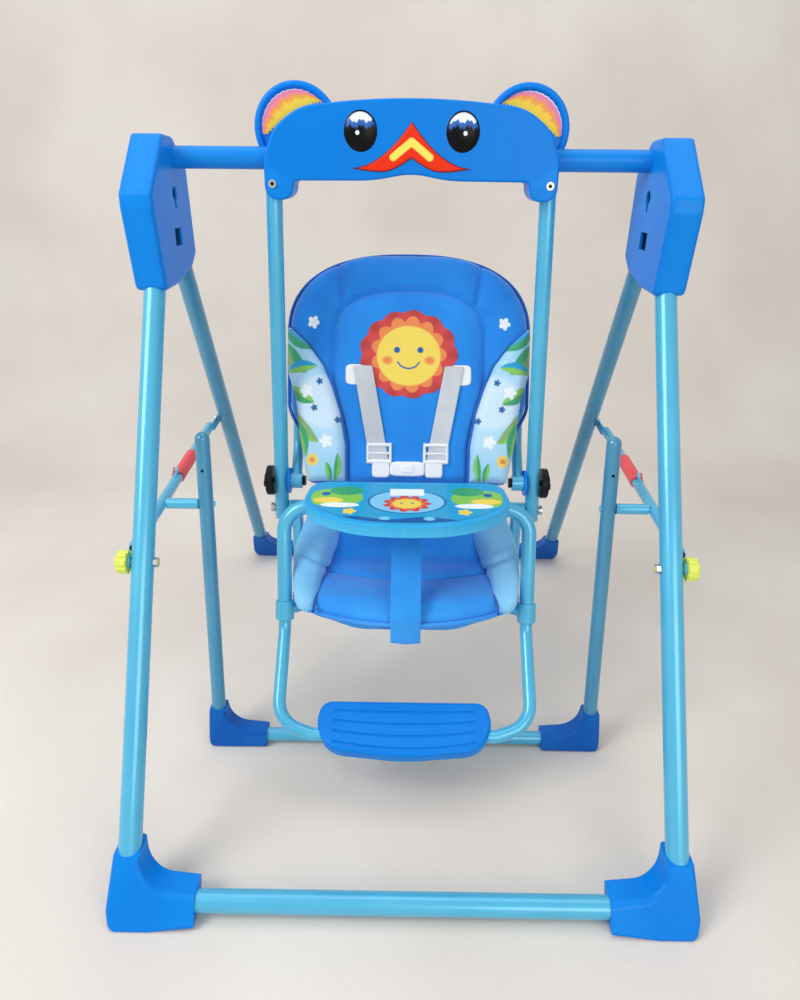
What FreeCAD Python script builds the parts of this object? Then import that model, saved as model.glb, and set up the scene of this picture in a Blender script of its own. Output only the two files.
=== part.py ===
"""Child's folding swing: an A-frame stand with three floor bars, hinged hubs and folding stays,
and a swinging seat with a reclining back, a tray, a guard bar and a footrest.

The frame has +X to the child's left hand side seen from the front (the photo's right), +Y to the
back and +Z up. The origin is on the floor, under the middle of the stand. Sizes are millimetres.
"""
import FreeCAD, Part
import math
import os

V = FreeCAD.Vector
doc = FreeCAD.newDocument("child_swing")
sheet = doc.addObject("Spreadsheet::Sheet", "Sizes")
rows = []
nodes = []


# Sheet, placing and joining helpers

def size(alias, value):
    """Write one driving dimension to the sheet under its own name and hand it back."""
    rows.append(alias)
    cell = "B" + str(len(rows))
    sheet.set("A" + str(len(rows)), alias)
    sheet.set(cell, str(value))
    sheet.setAlias(cell, alias)
    return float(value)


def keep(item, name):
    """Label an object as a sub-part that is exported."""
    item.Label = name
    nodes.append(item)
    return item


def feature(name, shape):
    """A sub-part whose shape is made in code from the sheet's sizes."""
    item = doc.addObject("Part::Feature", name)
    item.Shape = shape
    item.Placement = FreeCAD.Placement()
    return keep(item, name)


def towards(start, end):
    """The placement that carries a primitive's own +Z from start towards end."""
    return FreeCAD.Placement(start, FreeCAD.Rotation(V(0, 0, 1), end - start))


def rod(name, start, end, radius_rule):
    """A round bar between two points, its radius bound to the sheet."""
    item = doc.addObject("Part::Cylinder", name)
    item.setExpression("Radius", radius_rule)
    item.Height = (end - start).Length
    item.Placement = towards(start, end)
    return item


def tube(name, start, end, diameter, wall):
    """A straight tube between two points, its diameter and wall bound to the sheet."""
    cut = doc.addObject("Part::Cut", name)
    cut.Base = rod(name + "_outside", start, end, "Sizes." + diameter + " / 2")
    cut.Tool = rod(name + "_inside", start, end, "Sizes." + diameter + " / 2 - Sizes." + wall)
    return keep(cut, name)


def cylinder(start, end, radius):
    """A plain solid cylinder between two points."""
    axis = end - start
    return Part.makeCylinder(radius, axis.Length, start, axis)


def pair(name, shape):
    """The right-hand sub-part and its mirror image on the left."""
    right = feature(name + "_right", shape)
    left = feature(name + "_left", shape.mirror(V(0, 0, 0), V(1, 0, 0)))
    return right, left


def both(shape):
    """A solid and its mirror image, as one group."""
    return Part.makeCompound([shape, shape.mirror(V(0, 0, 0), V(1, 0, 0))])


def mirrored(point):
    """The same place on the other side."""
    return V(-point.x, point.y, point.z)


def ring(points, radii):
    """A closed outline of straight runs whose corners are rounded by tangent arcs."""
    count = len(points)
    starts, ends, middles = [], [], []
    for i in range(count):
        here = points[i]
        back = (points[i - 1] - here).normalize()
        ahead = (points[(i + 1) % count] - here).normalize()
        half = back.getAngle(ahead) / 2
        reach = radii[i] / math.tan(half)
        middle = here + (back + ahead).normalize() * (radii[i] / math.sin(half) - radii[i])
        starts.append(here + back * reach)
        ends.append(here + ahead * reach)
        middles.append(middle)
    edges = []
    for i in range(count):
        if radii[i] > 0:
            edges.append(Part.Arc(starts[i], middles[i], ends[i]).toShape())
        nearest = starts[(i + 1) % count]
        if (nearest - ends[i]).Length > seam:
            edges.append(Part.LineSegment(ends[i], nearest).toShape())
    return Part.Wire(edges)


def path(points, radii):
    """An open run of straight lengths joined by tangent arcs."""
    edges = []
    last = points[0]
    for i in range(1, len(points) - 1):
        here = points[i]
        back = (points[i - 1] - here).normalize()
        ahead = (points[i + 1] - here).normalize()
        half = back.getAngle(ahead) / 2
        bend = radii[i - 1]
        start = here + back * (bend / math.tan(half))
        middle = here + (back + ahead).normalize() * (bend / math.sin(half) - bend)
        end = here + ahead * (bend / math.tan(half))
        if (start - last).Length > seam:
            edges.append(Part.LineSegment(last, start).toShape())
        edges.append(Part.Arc(start, middle, end).toShape())
        last = end
    edges.append(Part.LineSegment(last, points[-1]).toShape())
    return Part.Wire(edges)


def swept(line, radius):
    """A round solid carried along a path."""
    start = line.Edges[0].valueAt(line.Edges[0].FirstParameter)
    heading = line.Edges[0].tangentAt(line.Edges[0].FirstParameter)
    circle = Part.Wire([Part.makeCircle(radius, start, heading)])
    return line.makePipeShell([circle], True, False)


def bent_tube(name, points, radii, diameter, wall):
    """A bent tube: straight runs and tangent arcs, bored out by its wall."""
    line = path(points, radii)
    return feature(name, swept(line, diameter / 2).cut(swept(line, diameter / 2 - wall)))


def slab(outline, thickness):
    """A flat solid on an outline, thickened along a vector."""
    return Part.Face(outline).extrude(thickness)


def softened(shape, radius, chosen):
    """Round the edges that a rule picks."""
    return shape.makeFillet(radius, [edge for edge in shape.Edges if chosen(edge)])


def lean(shape, rise, slope):
    """Slide every level of a shape back in proportion to its height above a level."""
    matrix = FreeCAD.Matrix()
    matrix.A23 = slope
    matrix.A24 = -slope * rise
    return shape.transformGeometry(matrix)


seam = size("shortest_run", 0.01)
overrun = size("cut_overrun", 2.0)


# Stand: two side frames of round steel tube on three floor bars

side = size("side_frame_offset", 300.0)
foot_reach = size("foot_reach", 409.0)
bar_level = size("floor_bar_level", 18.0)
leg_top = size("leg_top_level", 690.0)
front_top = size("front_leg_top_reach", 30.0)
rear_top = size("rear_leg_top_reach", 12.7)
leg_tube = size("leg_tube_diameter", 25.0)
rear_tube = size("rear_tube_diameter", 24.0)
tube_wall = size("tube_wall", 1.2)
joint_level = size("leg_joint_level", 183.0)
spigot_length = size("leg_spigot_length", 45.0)
spigot_clear = size("leg_spigot_clearance", 0.15)
corner_gap = size("elbow_corner_depth", 22.0)

front_slope = (foot_reach - front_top) / (leg_top - bar_level)
rear_slope = (foot_reach - rear_top) / (leg_top - bar_level)


def front_leg_at(level):
    """The right front leg's centre at a level."""
    return V(side, -foot_reach + front_slope * (level - bar_level), level)


def rear_leg_at(level):
    """The right rear leg's centre at a level."""
    return V(side, foot_reach - rear_slope * (level - bar_level), level)


front_run = (front_leg_at(leg_top) - front_leg_at(bar_level)).normalize()
rear_run = (rear_leg_at(leg_top) - rear_leg_at(bar_level)).normalize()
front_start = front_leg_at(bar_level) + front_run * corner_gap
rear_start = rear_leg_at(bar_level) + rear_run * corner_gap
front_joint = front_leg_at(joint_level)
spigot_end = front_joint + front_run * spigot_length
spigot_radius = leg_tube / 2 - tube_wall - spigot_clear
lower_leg = cylinder(front_start, front_joint, leg_tube / 2)
lower_leg = lower_leg.fuse(cylinder(front_joint, spigot_end, spigot_radius))
lower_leg = lower_leg.cut(cylinder(front_start, spigot_end, spigot_radius - tube_wall))
knob_hole = size("stay_bolt_hole_diameter", 6.4)
stay_front_level = size("stay_front_pin_level", 338.0)
stay_front_pin = front_leg_at(stay_front_level)
across = V(leg_tube, 0, 0)
upper_leg = cylinder(front_joint, front_leg_at(leg_top), leg_tube / 2)
upper_leg = upper_leg.cut(cylinder(front_joint, front_leg_at(leg_top), leg_tube / 2 - tube_wall))
upper_leg = upper_leg.cut(cylinder(stay_front_pin - across, stay_front_pin + across, knob_hole / 2))
pair("front_leg_upper", upper_leg)
pair("front_leg_lower", lower_leg)
front_bar_end = V(side - corner_gap, -foot_reach, bar_level)
rear_bar_end = V(side - corner_gap, foot_reach, bar_level)
tube("front_floor_bar", mirrored(front_bar_end), front_bar_end, "leg_tube_diameter", "tube_wall")
tube("rear_floor_bar", mirrored(rear_bar_end), rear_bar_end, "rear_tube_diameter", "tube_wall")


# Corner elbows: moulded feet that take a leg from above and a floor bar from the side

elbow_wall = size("elbow_wall", 1.8)
elbow_depth_wall = size("elbow_depth_wall", 4.4)
elbow_round = size("elbow_edge_radius", 5.0)
socket_clear = size("socket_clearance", 0.05)
sole_trim = size("sole_trim", 1.0)
sole_share = 0.34
heel_share = 0.35
curve_shares = ((0.06, 0.52, 0.86), (0.33, 0.10, 1.0))


def elbow(corner, run, slope, diameter, height, reach, bulge):
    """One elbow: a front outline thickened, leaned with its leg and bored for both tubes."""
    radius = diameter / 2
    half = radius + elbow_wall
    level = corner.z
    shoulder = level + half
    rise = height - shoulder
    curve = [V(-half - (reach - half) * along, 0, shoulder + rise * up)
             for along, up, bend in reversed(curve_shares)]
    points = [V(half, 0, height), V(half + bulge, 0, level), V(half + bulge * heel_share, 0, -sole_trim),
              V(-reach * sole_share, 0, -sole_trim), V(-reach, 0, level - half), V(-reach, 0, shoulder)]
    points = points + curve + [V(-half, 0, height)]
    bends = [rise * bend for along, up, bend in reversed(curve_shares)]
    rounds = [0, radius, radius * 0.8, radius, 0, 0] + bends + [0]
    depth = V(0, diameter + elbow_depth_wall * 2, 0)
    block = slab(ring(points, rounds), depth)
    front_and_back = [0, depth.y]
    block = softened(block, elbow_round, lambda edge: any(
        edge.BoundBox.YLength < seam and abs(edge.BoundBox.YMin - y) < seam
        and abs(edge.BoundBox.ZMin - height) > seam and abs(edge.BoundBox.XMax + reach) > seam
        for y in front_and_back))
    block.translate(V(corner.x, corner.y - depth.y / 2, 0))
    block = lean(block, level, slope)
    below = Part.makeBox(reach * 4, depth.y * 4, sole_trim * 2,
                         V(corner.x - reach * 2, corner.y - depth.y * 2, -sole_trim * 2))
    block = block.cut(below)
    bore = radius + socket_clear
    leg_bore = cylinder(corner + run * corner_gap, corner + run * height * 2, bore)
    bar_start = corner - V(corner_gap, 0, 0)
    bar_bore = cylinder(bar_start, bar_start - V(reach + overrun, 0, 0), bore)
    return block.cut(leg_bore).cut(bar_bore)


front_elbow_height = size("front_elbow_height", 67.0)
front_elbow_reach = size("front_elbow_reach", 76.0)
elbow_bulge = size("elbow_bulge", 5.5)
rear_elbow_height = size("rear_elbow_height", 58.0)
rear_elbow_reach = size("rear_elbow_reach", 70.0)
front_corner = front_leg_at(bar_level)
rear_corner = rear_leg_at(bar_level)
pair("front_elbow", elbow(front_corner, front_run, front_slope, leg_tube,
                          front_elbow_height, front_elbow_reach, elbow_bulge))
pair("rear_elbow", elbow(rear_corner, rear_run, -rear_slope, rear_tube,
                         rear_elbow_height, rear_elbow_reach, elbow_bulge))


# Hubs: each an outer and an inner moulded half round the leg tops, the fold pin and the bar end

hub_inner_face = size("hub_inner_face_offset", 282.0)
hub_outer_face = size("hub_outer_face_offset", 319.0)
hub_split = size("hub_split_offset", 302.0)
hub_wall = size("hub_wall", 3.0)
hub_round = size("hub_edge_radius", 4.5)
swing_level = size("swing_axis_level", 759.0)
hub_reach = size("hub_front_reach", 99.0)
hub_top = size("hub_top_level", 783.0)
hub_bottom = size("hub_bottom_level", 616.0)
hub_back = size("hub_back_reach", 57.0)
hinge_level = size("fold_pin_level", 676.0)
hinge_pin = size("fold_pin_diameter", 8.0)
hinge_clear = size("fold_pin_clearance", 0.06)
fold_range = size("fold_angle", 40.0)
leg_clear = size("leg_slot_clearance", 0.6)
crossbar = size("crossbar_diameter", 25.0)
bush_wall = size("bush_wall", 3.5)
bush_clear = size("bush_clearance", 0.05)
hub_height = hub_top - hub_bottom

hinge = rear_leg_at(hinge_level)
hub_shares = ((-0.343, 1.0), (-0.99, 0.635), (-1.0, 0.54), (-0.84, 0.0), (-0.25, 0.012),
              (0.36, 0.09), (0.575, 0.18), (0.5, 0.78), (0.05, 0.99))
hub_rounds = [hub_round * 2] * len(hub_shares)


def hub_outline(inset, offset):
    """The hub's side outline in the plane at an offset, drawn in by an inset."""
    points = [V(offset, share * hub_reach, hub_bottom + rise * hub_height)
              for share, rise in hub_shares]
    outline = ring(points, hub_rounds)
    if inset > 0:
        outline = outline.makeOffset2D(-inset)
    return outline


def swept_slot(point, run, half, angle):
    """The flat-sided room that a leg sweeps through as it turns forwards about the hinge."""
    depth = V(half * 2, 0, 0)
    start = V(point.x - half, point.y, point.z)
    room = cylinder(start, start + depth, half)
    ends = []
    for turn in (0, -angle):
        spin = FreeCAD.Rotation(V(1, 0, 0), turn)
        heading = spin.multVec(run * -1) * hub_height
        width = spin.multVec(V(1, 0, 0).cross(run)) * half
        corners = [start + width, start + width + heading, start - width + heading, start - width]
        room = room.fuse(slab(Part.makePolygon(corners + corners[:1]), depth))
        ends.append(start + heading)
    return room.fuse(slab(Part.makePolygon([start] + ends + [start]), depth))


hub_outer = slab(hub_outline(0, hub_split), V(hub_outer_face - hub_split, 0, 0))
hub_inner = slab(hub_outline(0, hub_inner_face), V(hub_split - hub_inner_face, 0, 0))
hub_outer = softened(hub_outer, hub_round,
                     lambda edge: abs(edge.BoundBox.XMin - hub_outer_face) < seam)
hub_inner = softened(hub_inner, hub_round,
                     lambda edge: edge.BoundBox.XMax - hub_inner_face < seam)
hollow_start = V(hub_outer_face - hub_wall - hub_split, 0, 0)
hub_outer = hub_outer.cut(slab(hub_outline(hub_wall, hub_split), hollow_start))
hollow_depth = V(hub_split - hub_inner_face - hub_wall, 0, 0)
hub_inner = hub_inner.cut(slab(hub_outline(hub_wall, hub_inner_face + hub_wall), hollow_depth))
slot_half = rear_tube / 2 + leg_clear
fold_room = swept_slot(hinge, rear_run, slot_half, fold_range)
front_bore = cylinder(front_leg_at(hub_bottom - hub_height), front_leg_at(leg_top),
                      leg_tube / 2 + socket_clear)
boss = size("hub_boss_diameter", 18.0)
pin_seat = cylinder(V(hub_inner_face + hub_wall / 2, hinge.y, hinge.z),
                    V(side - slot_half, hinge.y, hinge.z), boss / 2)
pin_seat_outer = cylinder(V(side + slot_half, hinge.y, hinge.z),
                          V(hub_outer_face - hub_wall / 2, hinge.y, hinge.z), boss / 2)
bar_axis = V(0, 0, swing_level)
bush_radius = crossbar / 2 + bush_clear + bush_wall
bar_seat = cylinder(V(hub_inner_face + hub_wall / 2, 0, swing_level),
                    V(hub_split, 0, swing_level), bush_radius + hub_wall)
bar_seat = bar_seat.common(slab(hub_outline(0, hub_inner_face), V(hub_split - hub_inner_face, 0, 0)))
hub_inner = hub_inner.fuse(pin_seat).fuse(bar_seat)
hub_outer = hub_outer.fuse(pin_seat_outer)
pin_hole = cylinder(V(hub_inner_face + hub_wall / 2, hinge.y, hinge.z),
                    V(hub_outer_face - hub_wall / 2, hinge.y, hinge.z), hinge_pin / 2)
bush_hole = cylinder(V(hub_inner_face - overrun, 0, swing_level),
                     V(hub_split + overrun, 0, swing_level), bush_radius)
key_radius = size("keyhole_radius", 8.0)
key_tail = size("keyhole_tail_width", 7.0)
key_shares = (-0.12, 0.62)
latch_shares = (-0.28, 0.27)
key_place = V(hub_inner_face, key_shares[0] * hub_reach, hub_bottom + key_shares[1] * hub_height)
key_hole = cylinder(key_place - V(overrun, 0, 0), key_place + V(hub_wall * 2, 0, 0), key_radius)
tail_box = Part.makeBox(hub_wall * 2 + overrun, key_tail, key_radius * 2,
                        key_place - V(overrun, key_tail / 2, key_radius * 2))
latch_wide = size("latch_slot_width", 26.0)
latch_high = size("latch_slot_height", 20.0)
latch_place = V(hub_inner_face - overrun, latch_shares[0] * hub_reach,
                hub_bottom + latch_shares[1] * hub_height)
latch_box = Part.makeBox(hub_wall * 2 + overrun, latch_wide, latch_high, latch_place)
for tool in (front_bore, fold_room, pin_hole):
    hub_outer = hub_outer.cut(tool)
    hub_inner = hub_inner.cut(tool)
for tool in (bush_hole, key_hole, tail_box, latch_box):
    hub_inner = hub_inner.cut(tool)
pair("hub_outer", hub_outer)
pair("hub_inner", hub_inner)
bush = cylinder(V(hub_inner_face, 0, swing_level), V(hub_split, 0, swing_level), bush_radius)
bush = bush.cut(bush_hole.common(cylinder(V(hub_inner_face - overrun, 0, swing_level),
                                          V(hub_split + overrun, 0, swing_level),
                                          crossbar / 2 + bush_clear)))
feature("crossbar_bushes", both(bush))
feature("fold_pins", both(pin_hole))


# Rear legs, drilled for the fold pin and for the stay's rear pin

stay_rear_level = size("stay_rear_pin_level", 370.0)
stay_rear_pin = rear_leg_at(stay_rear_level)
rear_leg = cylinder(rear_start, rear_leg_at(leg_top), rear_tube / 2)
rear_leg = rear_leg.cut(cylinder(rear_start, rear_leg_at(leg_top), rear_tube / 2 - tube_wall))
rear_leg = rear_leg.cut(cylinder(hinge - across, hinge + across, hinge_pin / 2 + hinge_clear))
pair("rear_leg", rear_leg)

# Folding stays outside the legs: flat-ended tubes that meet under a red sleeve with a knuckle

stay_offset = size("stay_offset", 320.3)
stay_tube = size("stay_diameter", 14.0)
stay_wall = size("stay_wall", 1.0)
stay_flat = size("stay_flat_thickness", 2.5)
stay_flat_reach = size("stay_flat_reach", 20.0)
stay_gap = size("stay_butt_gap", 0.3)
sleeve_length = size("sleeve_length", 72.0)
sleeve_wall = size("sleeve_wall", 2.0)
knuckle_rise = size("knuckle_rise", 10.0)
knuckle_round = size("knuckle_radius", 4.5)
knuckle_pin = size("knuckle_pin_diameter", 4.0)
lug_thick = size("knuckle_lug_thickness", 4.0)
cheek_thick = size("knuckle_cheek_thickness", 2.5)
lug_clear = size("knuckle_clearance", 0.35)
lug_web = size("knuckle_web_length", 14.0)
pin_clear = size("running_clearance", 0.05)

front_pin = V(stay_offset, stay_front_pin.y, stay_front_pin.z)
rear_pin = V(stay_offset, stay_rear_pin.y, stay_rear_pin.z)
stay_run = (rear_pin - front_pin).normalize()
stay_up = V(1, 0, 0).cross(stay_run)
stay_middle = (front_pin + rear_pin) * 0.5
knuckle = stay_middle + stay_up * knuckle_rise
flat_face = stay_offset - stay_tube / 2


def flat_end(pin, run):
    """The pressed end of a stay: a tapering flat tab, flush with the tube's inner side."""
    high = stay_up * (stay_tube / 2)
    start = V(flat_face, pin.y, pin.z)
    root = start + run * (stay_flat_reach + stay_tube)
    corners = [start + high, root + high, root - high, start - high]
    tab = slab(Part.makePolygon(corners + corners[:1]), V(stay_flat, 0, 0))
    tab = tab.fuse(cylinder(start, start + V(stay_flat, 0, 0), stay_tube / 2))
    hole = cylinder(start - V(overrun, 0, 0), start + V(stay_tube, 0, 0), stay_bolt / 2 + pin_clear)
    wedge_start = pin + run * stay_flat_reach
    cone = Part.makeCone(stay_tube / 2 * heel_share, stay_tube / 2, stay_tube, wedge_start, run)
    cone = cone.cut(cylinder(wedge_start, wedge_start + run * stay_tube * 2, stay_tube / 2 - stay_wall * 2))
    return tab.fuse(cone).cut(hole)


def plate(place, offset, thick, radius, web, web_run):
    """A knuckle plate: an eye round the pin and a web down to its own tube."""
    start = V(offset, place.y, place.z)
    eye = cylinder(start, start + V(thick, 0, 0), radius)
    low = start - stay_up * knuckle_rise * heel_share
    low = V(offset, low.y, low.z) + web_run * stay_gap
    foot = stay_up * (-radius)
    corners = [start + web_run * stay_gap, start + web_run * web + foot * heel_share,
               low + web_run * web + foot, low + foot]
    return eye.fuse(slab(Part.makePolygon(corners + corners[:1]), V(thick, 0, 0)))


stay_bolt = size("stay_bolt_diameter", 6.0)
lug_start = stay_offset - lug_thick / 2
tube_start = front_pin + stay_run * (stay_flat_reach + stay_tube)
tube_end = stay_middle - stay_run * stay_gap
knuckle_hole = cylinder(V(stay_offset - stay_tube, knuckle.y, knuckle.z),
                        V(stay_offset + stay_tube, knuckle.y, knuckle.z), knuckle_pin / 2)
knuckle_bore = cylinder(V(stay_offset - stay_tube, knuckle.y, knuckle.z),
                        V(stay_offset + stay_tube, knuckle.y, knuckle.z), knuckle_pin / 2 + pin_clear)
knuckle_room = cylinder(V(stay_offset - stay_tube, knuckle.y, knuckle.z),
                        V(stay_offset + stay_tube, knuckle.y, knuckle.z), knuckle_round + lug_clear)
lug_room = cylinder(V(lug_start - lug_clear, knuckle.y, knuckle.z),
                    V(lug_start + lug_thick + lug_clear, knuckle.y, knuckle.z), knuckle_round + lug_clear)
front_stay = cylinder(tube_start, tube_end, stay_tube / 2)
front_stay = front_stay.cut(cylinder(tube_start, tube_end, stay_tube / 2 - stay_wall))
front_stay = front_stay.cut(knuckle_room).fuse(flat_end(front_pin, stay_run))
front_stay = front_stay.fuse(plate(knuckle, lug_start, lug_thick, knuckle_round, lug_web, stay_run * -1))
front_stay = front_stay.cut(knuckle_bore)

sleeve_start = stay_middle + stay_run * stay_gap
sleeve_end = sleeve_start + stay_run * sleeve_length
sleeve_radius = stay_tube / 2 + sleeve_wall
rear_tube_end = rear_pin - stay_run * (stay_flat_reach + stay_tube)
rear_stay_tube = cylinder(sleeve_start + stay_run * lug_web, rear_tube_end, stay_tube / 2)
rear_stay_tube = rear_stay_tube.cut(cylinder(sleeve_start, rear_tube_end, stay_tube / 2 - stay_wall))
rear_stay = rear_stay_tube.fuse(flat_end(rear_pin, stay_run * -1))
sleeve = cylinder(sleeve_start, sleeve_end, sleeve_radius)
sleeve = sleeve.cut(cylinder(sleeve_start + stay_run * lug_web, sleeve_end, stay_tube / 2))
sleeve = sleeve.cut(cylinder(sleeve_start, sleeve_end, stay_tube / 2 - stay_wall))
sleeve = sleeve.cut(lug_room)
for offset in (lug_start - lug_clear - cheek_thick, lug_start + lug_thick + lug_clear):
    sleeve = sleeve.fuse(plate(knuckle, offset, cheek_thick, knuckle_round, lug_web, stay_run))
sleeve = sleeve.cut(cylinder(sleeve_start + stay_run * lug_web, sleeve_end, stay_tube / 2))
sleeve = sleeve.cut(knuckle_hole)
cheek_reach = lug_thick / 2 + lug_clear + cheek_thick
feature("knuckle_pins", both(cylinder(V(stay_offset - cheek_reach, knuckle.y, knuckle.z),
                                      V(stay_offset + cheek_reach, knuckle.y, knuckle.z),
                                      knuckle_pin / 2)))
pair("stay_front_half", front_stay)
pair("stay_rear_half", rear_stay)
pair("stay_sleeve", sleeve)

cap_wide = size("stay_cap_diameter", 13.0)
cap_radius = cap_wide / 2
cap_thick = size("stay_cap_thickness", 4.0)
leg_side = side + rear_tube / 2
rivet_start = V(leg_side + stay_gap, rear_pin.y, rear_pin.z)
rivet_face = V(flat_face + stay_flat, rear_pin.y, rear_pin.z)
rivet = cylinder(rivet_start, rivet_face, stay_bolt / 2)
rivet = rivet.fuse(cylinder(rivet_face, rivet_face + V(cap_thick, 0, 0), cap_radius))
feature("stay_rivets", both(rivet))


# Hand knobs that clamp the stays' front ends, each on its own bolt with a nut inside the leg

knob_wide = size("knob_diameter", 27.0)
knob_thick = size("knob_thickness", 12.0)
knob_scallop = size("knob_scallop_radius", 2.45)
knob_edge = size("knob_edge_radius", 3.0)
knob_gap = size("knob_gap", 0.4)
nut_wide = size("nut_width", 10.0)
nut_thick = size("nut_thickness", 5.0)
knob_scallops = 8
knob_face = V(flat_face + stay_flat + knob_gap, front_pin.y, front_pin.z)
knob = cylinder(knob_face, knob_face + V(knob_thick, 0, 0), knob_wide / 2)
knob = softened(knob, knob_edge, lambda edge: edge.BoundBox.XMin > knob_face.x + seam
                and edge.BoundBox.XLength < seam)
for step in range(knob_scallops):
    angle = math.radians(360.0 * step / knob_scallops)
    spot = knob_face + V(-overrun, math.cos(angle) * knob_wide / 2, math.sin(angle) * knob_wide / 2)
    knob = knob.cut(cylinder(spot, spot + V(knob_thick * 2, 0, 0), knob_scallop))
nut_face = side - leg_tube / 2 - knob_gap
bolt_start = V(nut_face - nut_thick - knob_gap, front_pin.y, front_pin.z)
bolt = cylinder(bolt_start, knob_face + V(knob_thick / 2, 0, 0), stay_bolt / 2)
pair("stay_knob", knob.fuse(bolt))
hexagon = []
for step in range(6):
    angle = math.radians(60.0 * step)
    reach = nut_wide / 2 / math.cos(math.radians(30.0))
    hexagon.append(V(nut_face, front_pin.y + reach * math.cos(angle), front_pin.z + reach * math.sin(angle)))
nut = slab(Part.makePolygon(hexagon + hexagon[:1]), V(-nut_thick, 0, 0))
nut = nut.cut(cylinder(bolt_start - V(overrun, 0, 0), knob_face, stay_bolt / 2 + pin_clear))
feature("stay_nuts", both(nut))


# Middle floor frame: a low U of thinner tube, pinned to the stays' front halves

mid_offset = size("mid_frame_offset", 262.0)
mid_tube = size("mid_tube_diameter", 19.0)
mid_level = size("mid_bar_level", 11.5)
mid_foot = size("mid_foot_reach", 143.0)
mid_top_level = size("mid_top_level", 433.0)
mid_top_reach = size("mid_top_reach", 77.0)
mid_elbow_height = size("mid_elbow_height", 55.0)
mid_elbow_reach = size("mid_elbow_reach", 68.0)
mid_bulge = size("mid_elbow_bulge", 2.5)
mid_pin = size("mid_pin_diameter", 7.0)
mid_hole_level = size("mid_spare_hole_level", 395.0)
mid_corner = V(mid_offset, -mid_foot, mid_level)
mid_top = V(mid_offset, -mid_top_reach, mid_top_level)
mid_run = (mid_top - mid_corner).normalize()
mid_slope = (mid_foot - mid_top_reach) / (mid_top_level - mid_level)
mid_start = mid_corner + mid_run * corner_gap
upright = cylinder(mid_start, mid_top, mid_tube / 2)
dome = Part.makeSphere(mid_tube / 2, mid_top)
upright = upright.fuse(dome)
upright = upright.cut(cylinder(mid_start, mid_top, mid_tube / 2 - tube_wall))
stay_slope = stay_run.z / stay_run.y
cross_y = (front_pin.z - stay_slope * front_pin.y - mid_level - mid_foot / mid_slope) / (
    1 / mid_slope - stay_slope)
cross_pin = V(mid_offset, cross_y, front_pin.z + stay_slope * (cross_y - front_pin.y))
half_across = V(mid_tube, 0, 0)
upright = upright.cut(cylinder(cross_pin - half_across, cross_pin + half_across, mid_pin / 2 + pin_clear))
spare = mid_corner + mid_run * ((mid_hole_level - mid_level) / mid_run.z)
spare_front = spare - V(0, mid_tube, 0)
upright = upright.cut(cylinder(spare_front, spare, knuckle_pin / 2))
pair("mid_upright", upright)
pair("mid_elbow", elbow(mid_corner, mid_run, mid_slope, mid_tube,
                        mid_elbow_height, mid_elbow_reach, mid_bulge))
mid_bar_end = V(mid_offset - corner_gap, -mid_foot, mid_level)
tube("mid_floor_bar", mirrored(mid_bar_end), mid_bar_end, "mid_tube_diameter", "tube_wall")
mid_pin_start = cross_pin - V(mid_tube / 2 + overrun, 0, 0)
mid_pin_end = V(stay_offset + stay_tube / 2, cross_pin.y, cross_pin.z)
mid_cross = cylinder(mid_pin_start, mid_pin_end, mid_pin / 2)
collar_start = V(mid_offset + mid_tube / 2 + lug_clear, cross_pin.y, cross_pin.z)
collar_end = V(stay_offset - stay_tube / 2, cross_pin.y, cross_pin.z)
mid_cross = mid_cross.fuse(cylinder(collar_start, collar_end, mid_pin))
stay_cross_hole = cylinder(cross_pin, mid_pin_end + V(overrun, 0, 0), mid_pin / 2)
for item in nodes:
    if item.Label.startswith("stay_front_half"):
        hole = stay_cross_hole
        if item.Label.endswith("left"):
            hole = stay_cross_hole.mirror(V(0, 0, 0), V(1, 0, 0))
        item.Shape = item.Shape.cut(hole)
feature("mid_pins", both(mid_cross))
print("fold pin", hinge, "front pin", front_pin, "knuckle", knuckle, "rear pin", rear_pin)
print("mid pin", cross_pin)


# Crossbar that turns in the hubs, with the animal-faced board and its ears screwed round it

bar_inset = size("crossbar_end_inset", 4.0)
bar_end = V(hub_split - bar_inset, 0, swing_level)
tube("crossbar", mirrored(bar_end), bar_end, "crossbar_diameter", "tube_wall")

board_half = size("board_half_width", 171.0)
board_rise = size("board_rise_over_bar", 67.0)
board_arch_drop = size("board_arch_drop_under_bar", 15.0)
board_lobe_drop = size("board_lobe_drop_under_bar", 45.0)
board_edge_drop = size("board_edge_drop_under_bar", 24.0)
board_front = size("board_front_reach", 30.0)
board_back = size("board_back_reach", 12.8)
board_wall = size("board_wall", 3.0)
lobe_wide = size("board_lobe_width", 34.0)
board_clear = size("board_clearance", 0.3)
lobe_round = size("board_lobe_radius", 15.0)
board_top = swing_level + board_rise
board_arch = swing_level - board_arch_drop
board_low = swing_level - board_lobe_drop
board_edge = swing_level - board_edge_drop
shoulder_shares = ((0.997, -0.03, 1.0), (0.924, 0.463, 1.0), (0.749, 0.784, 1.4))
shoulder_round_share = 0.25
arch_reach_share = 0.25
arch_round_share = 0.45
crown_round_share = 0.78


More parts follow.
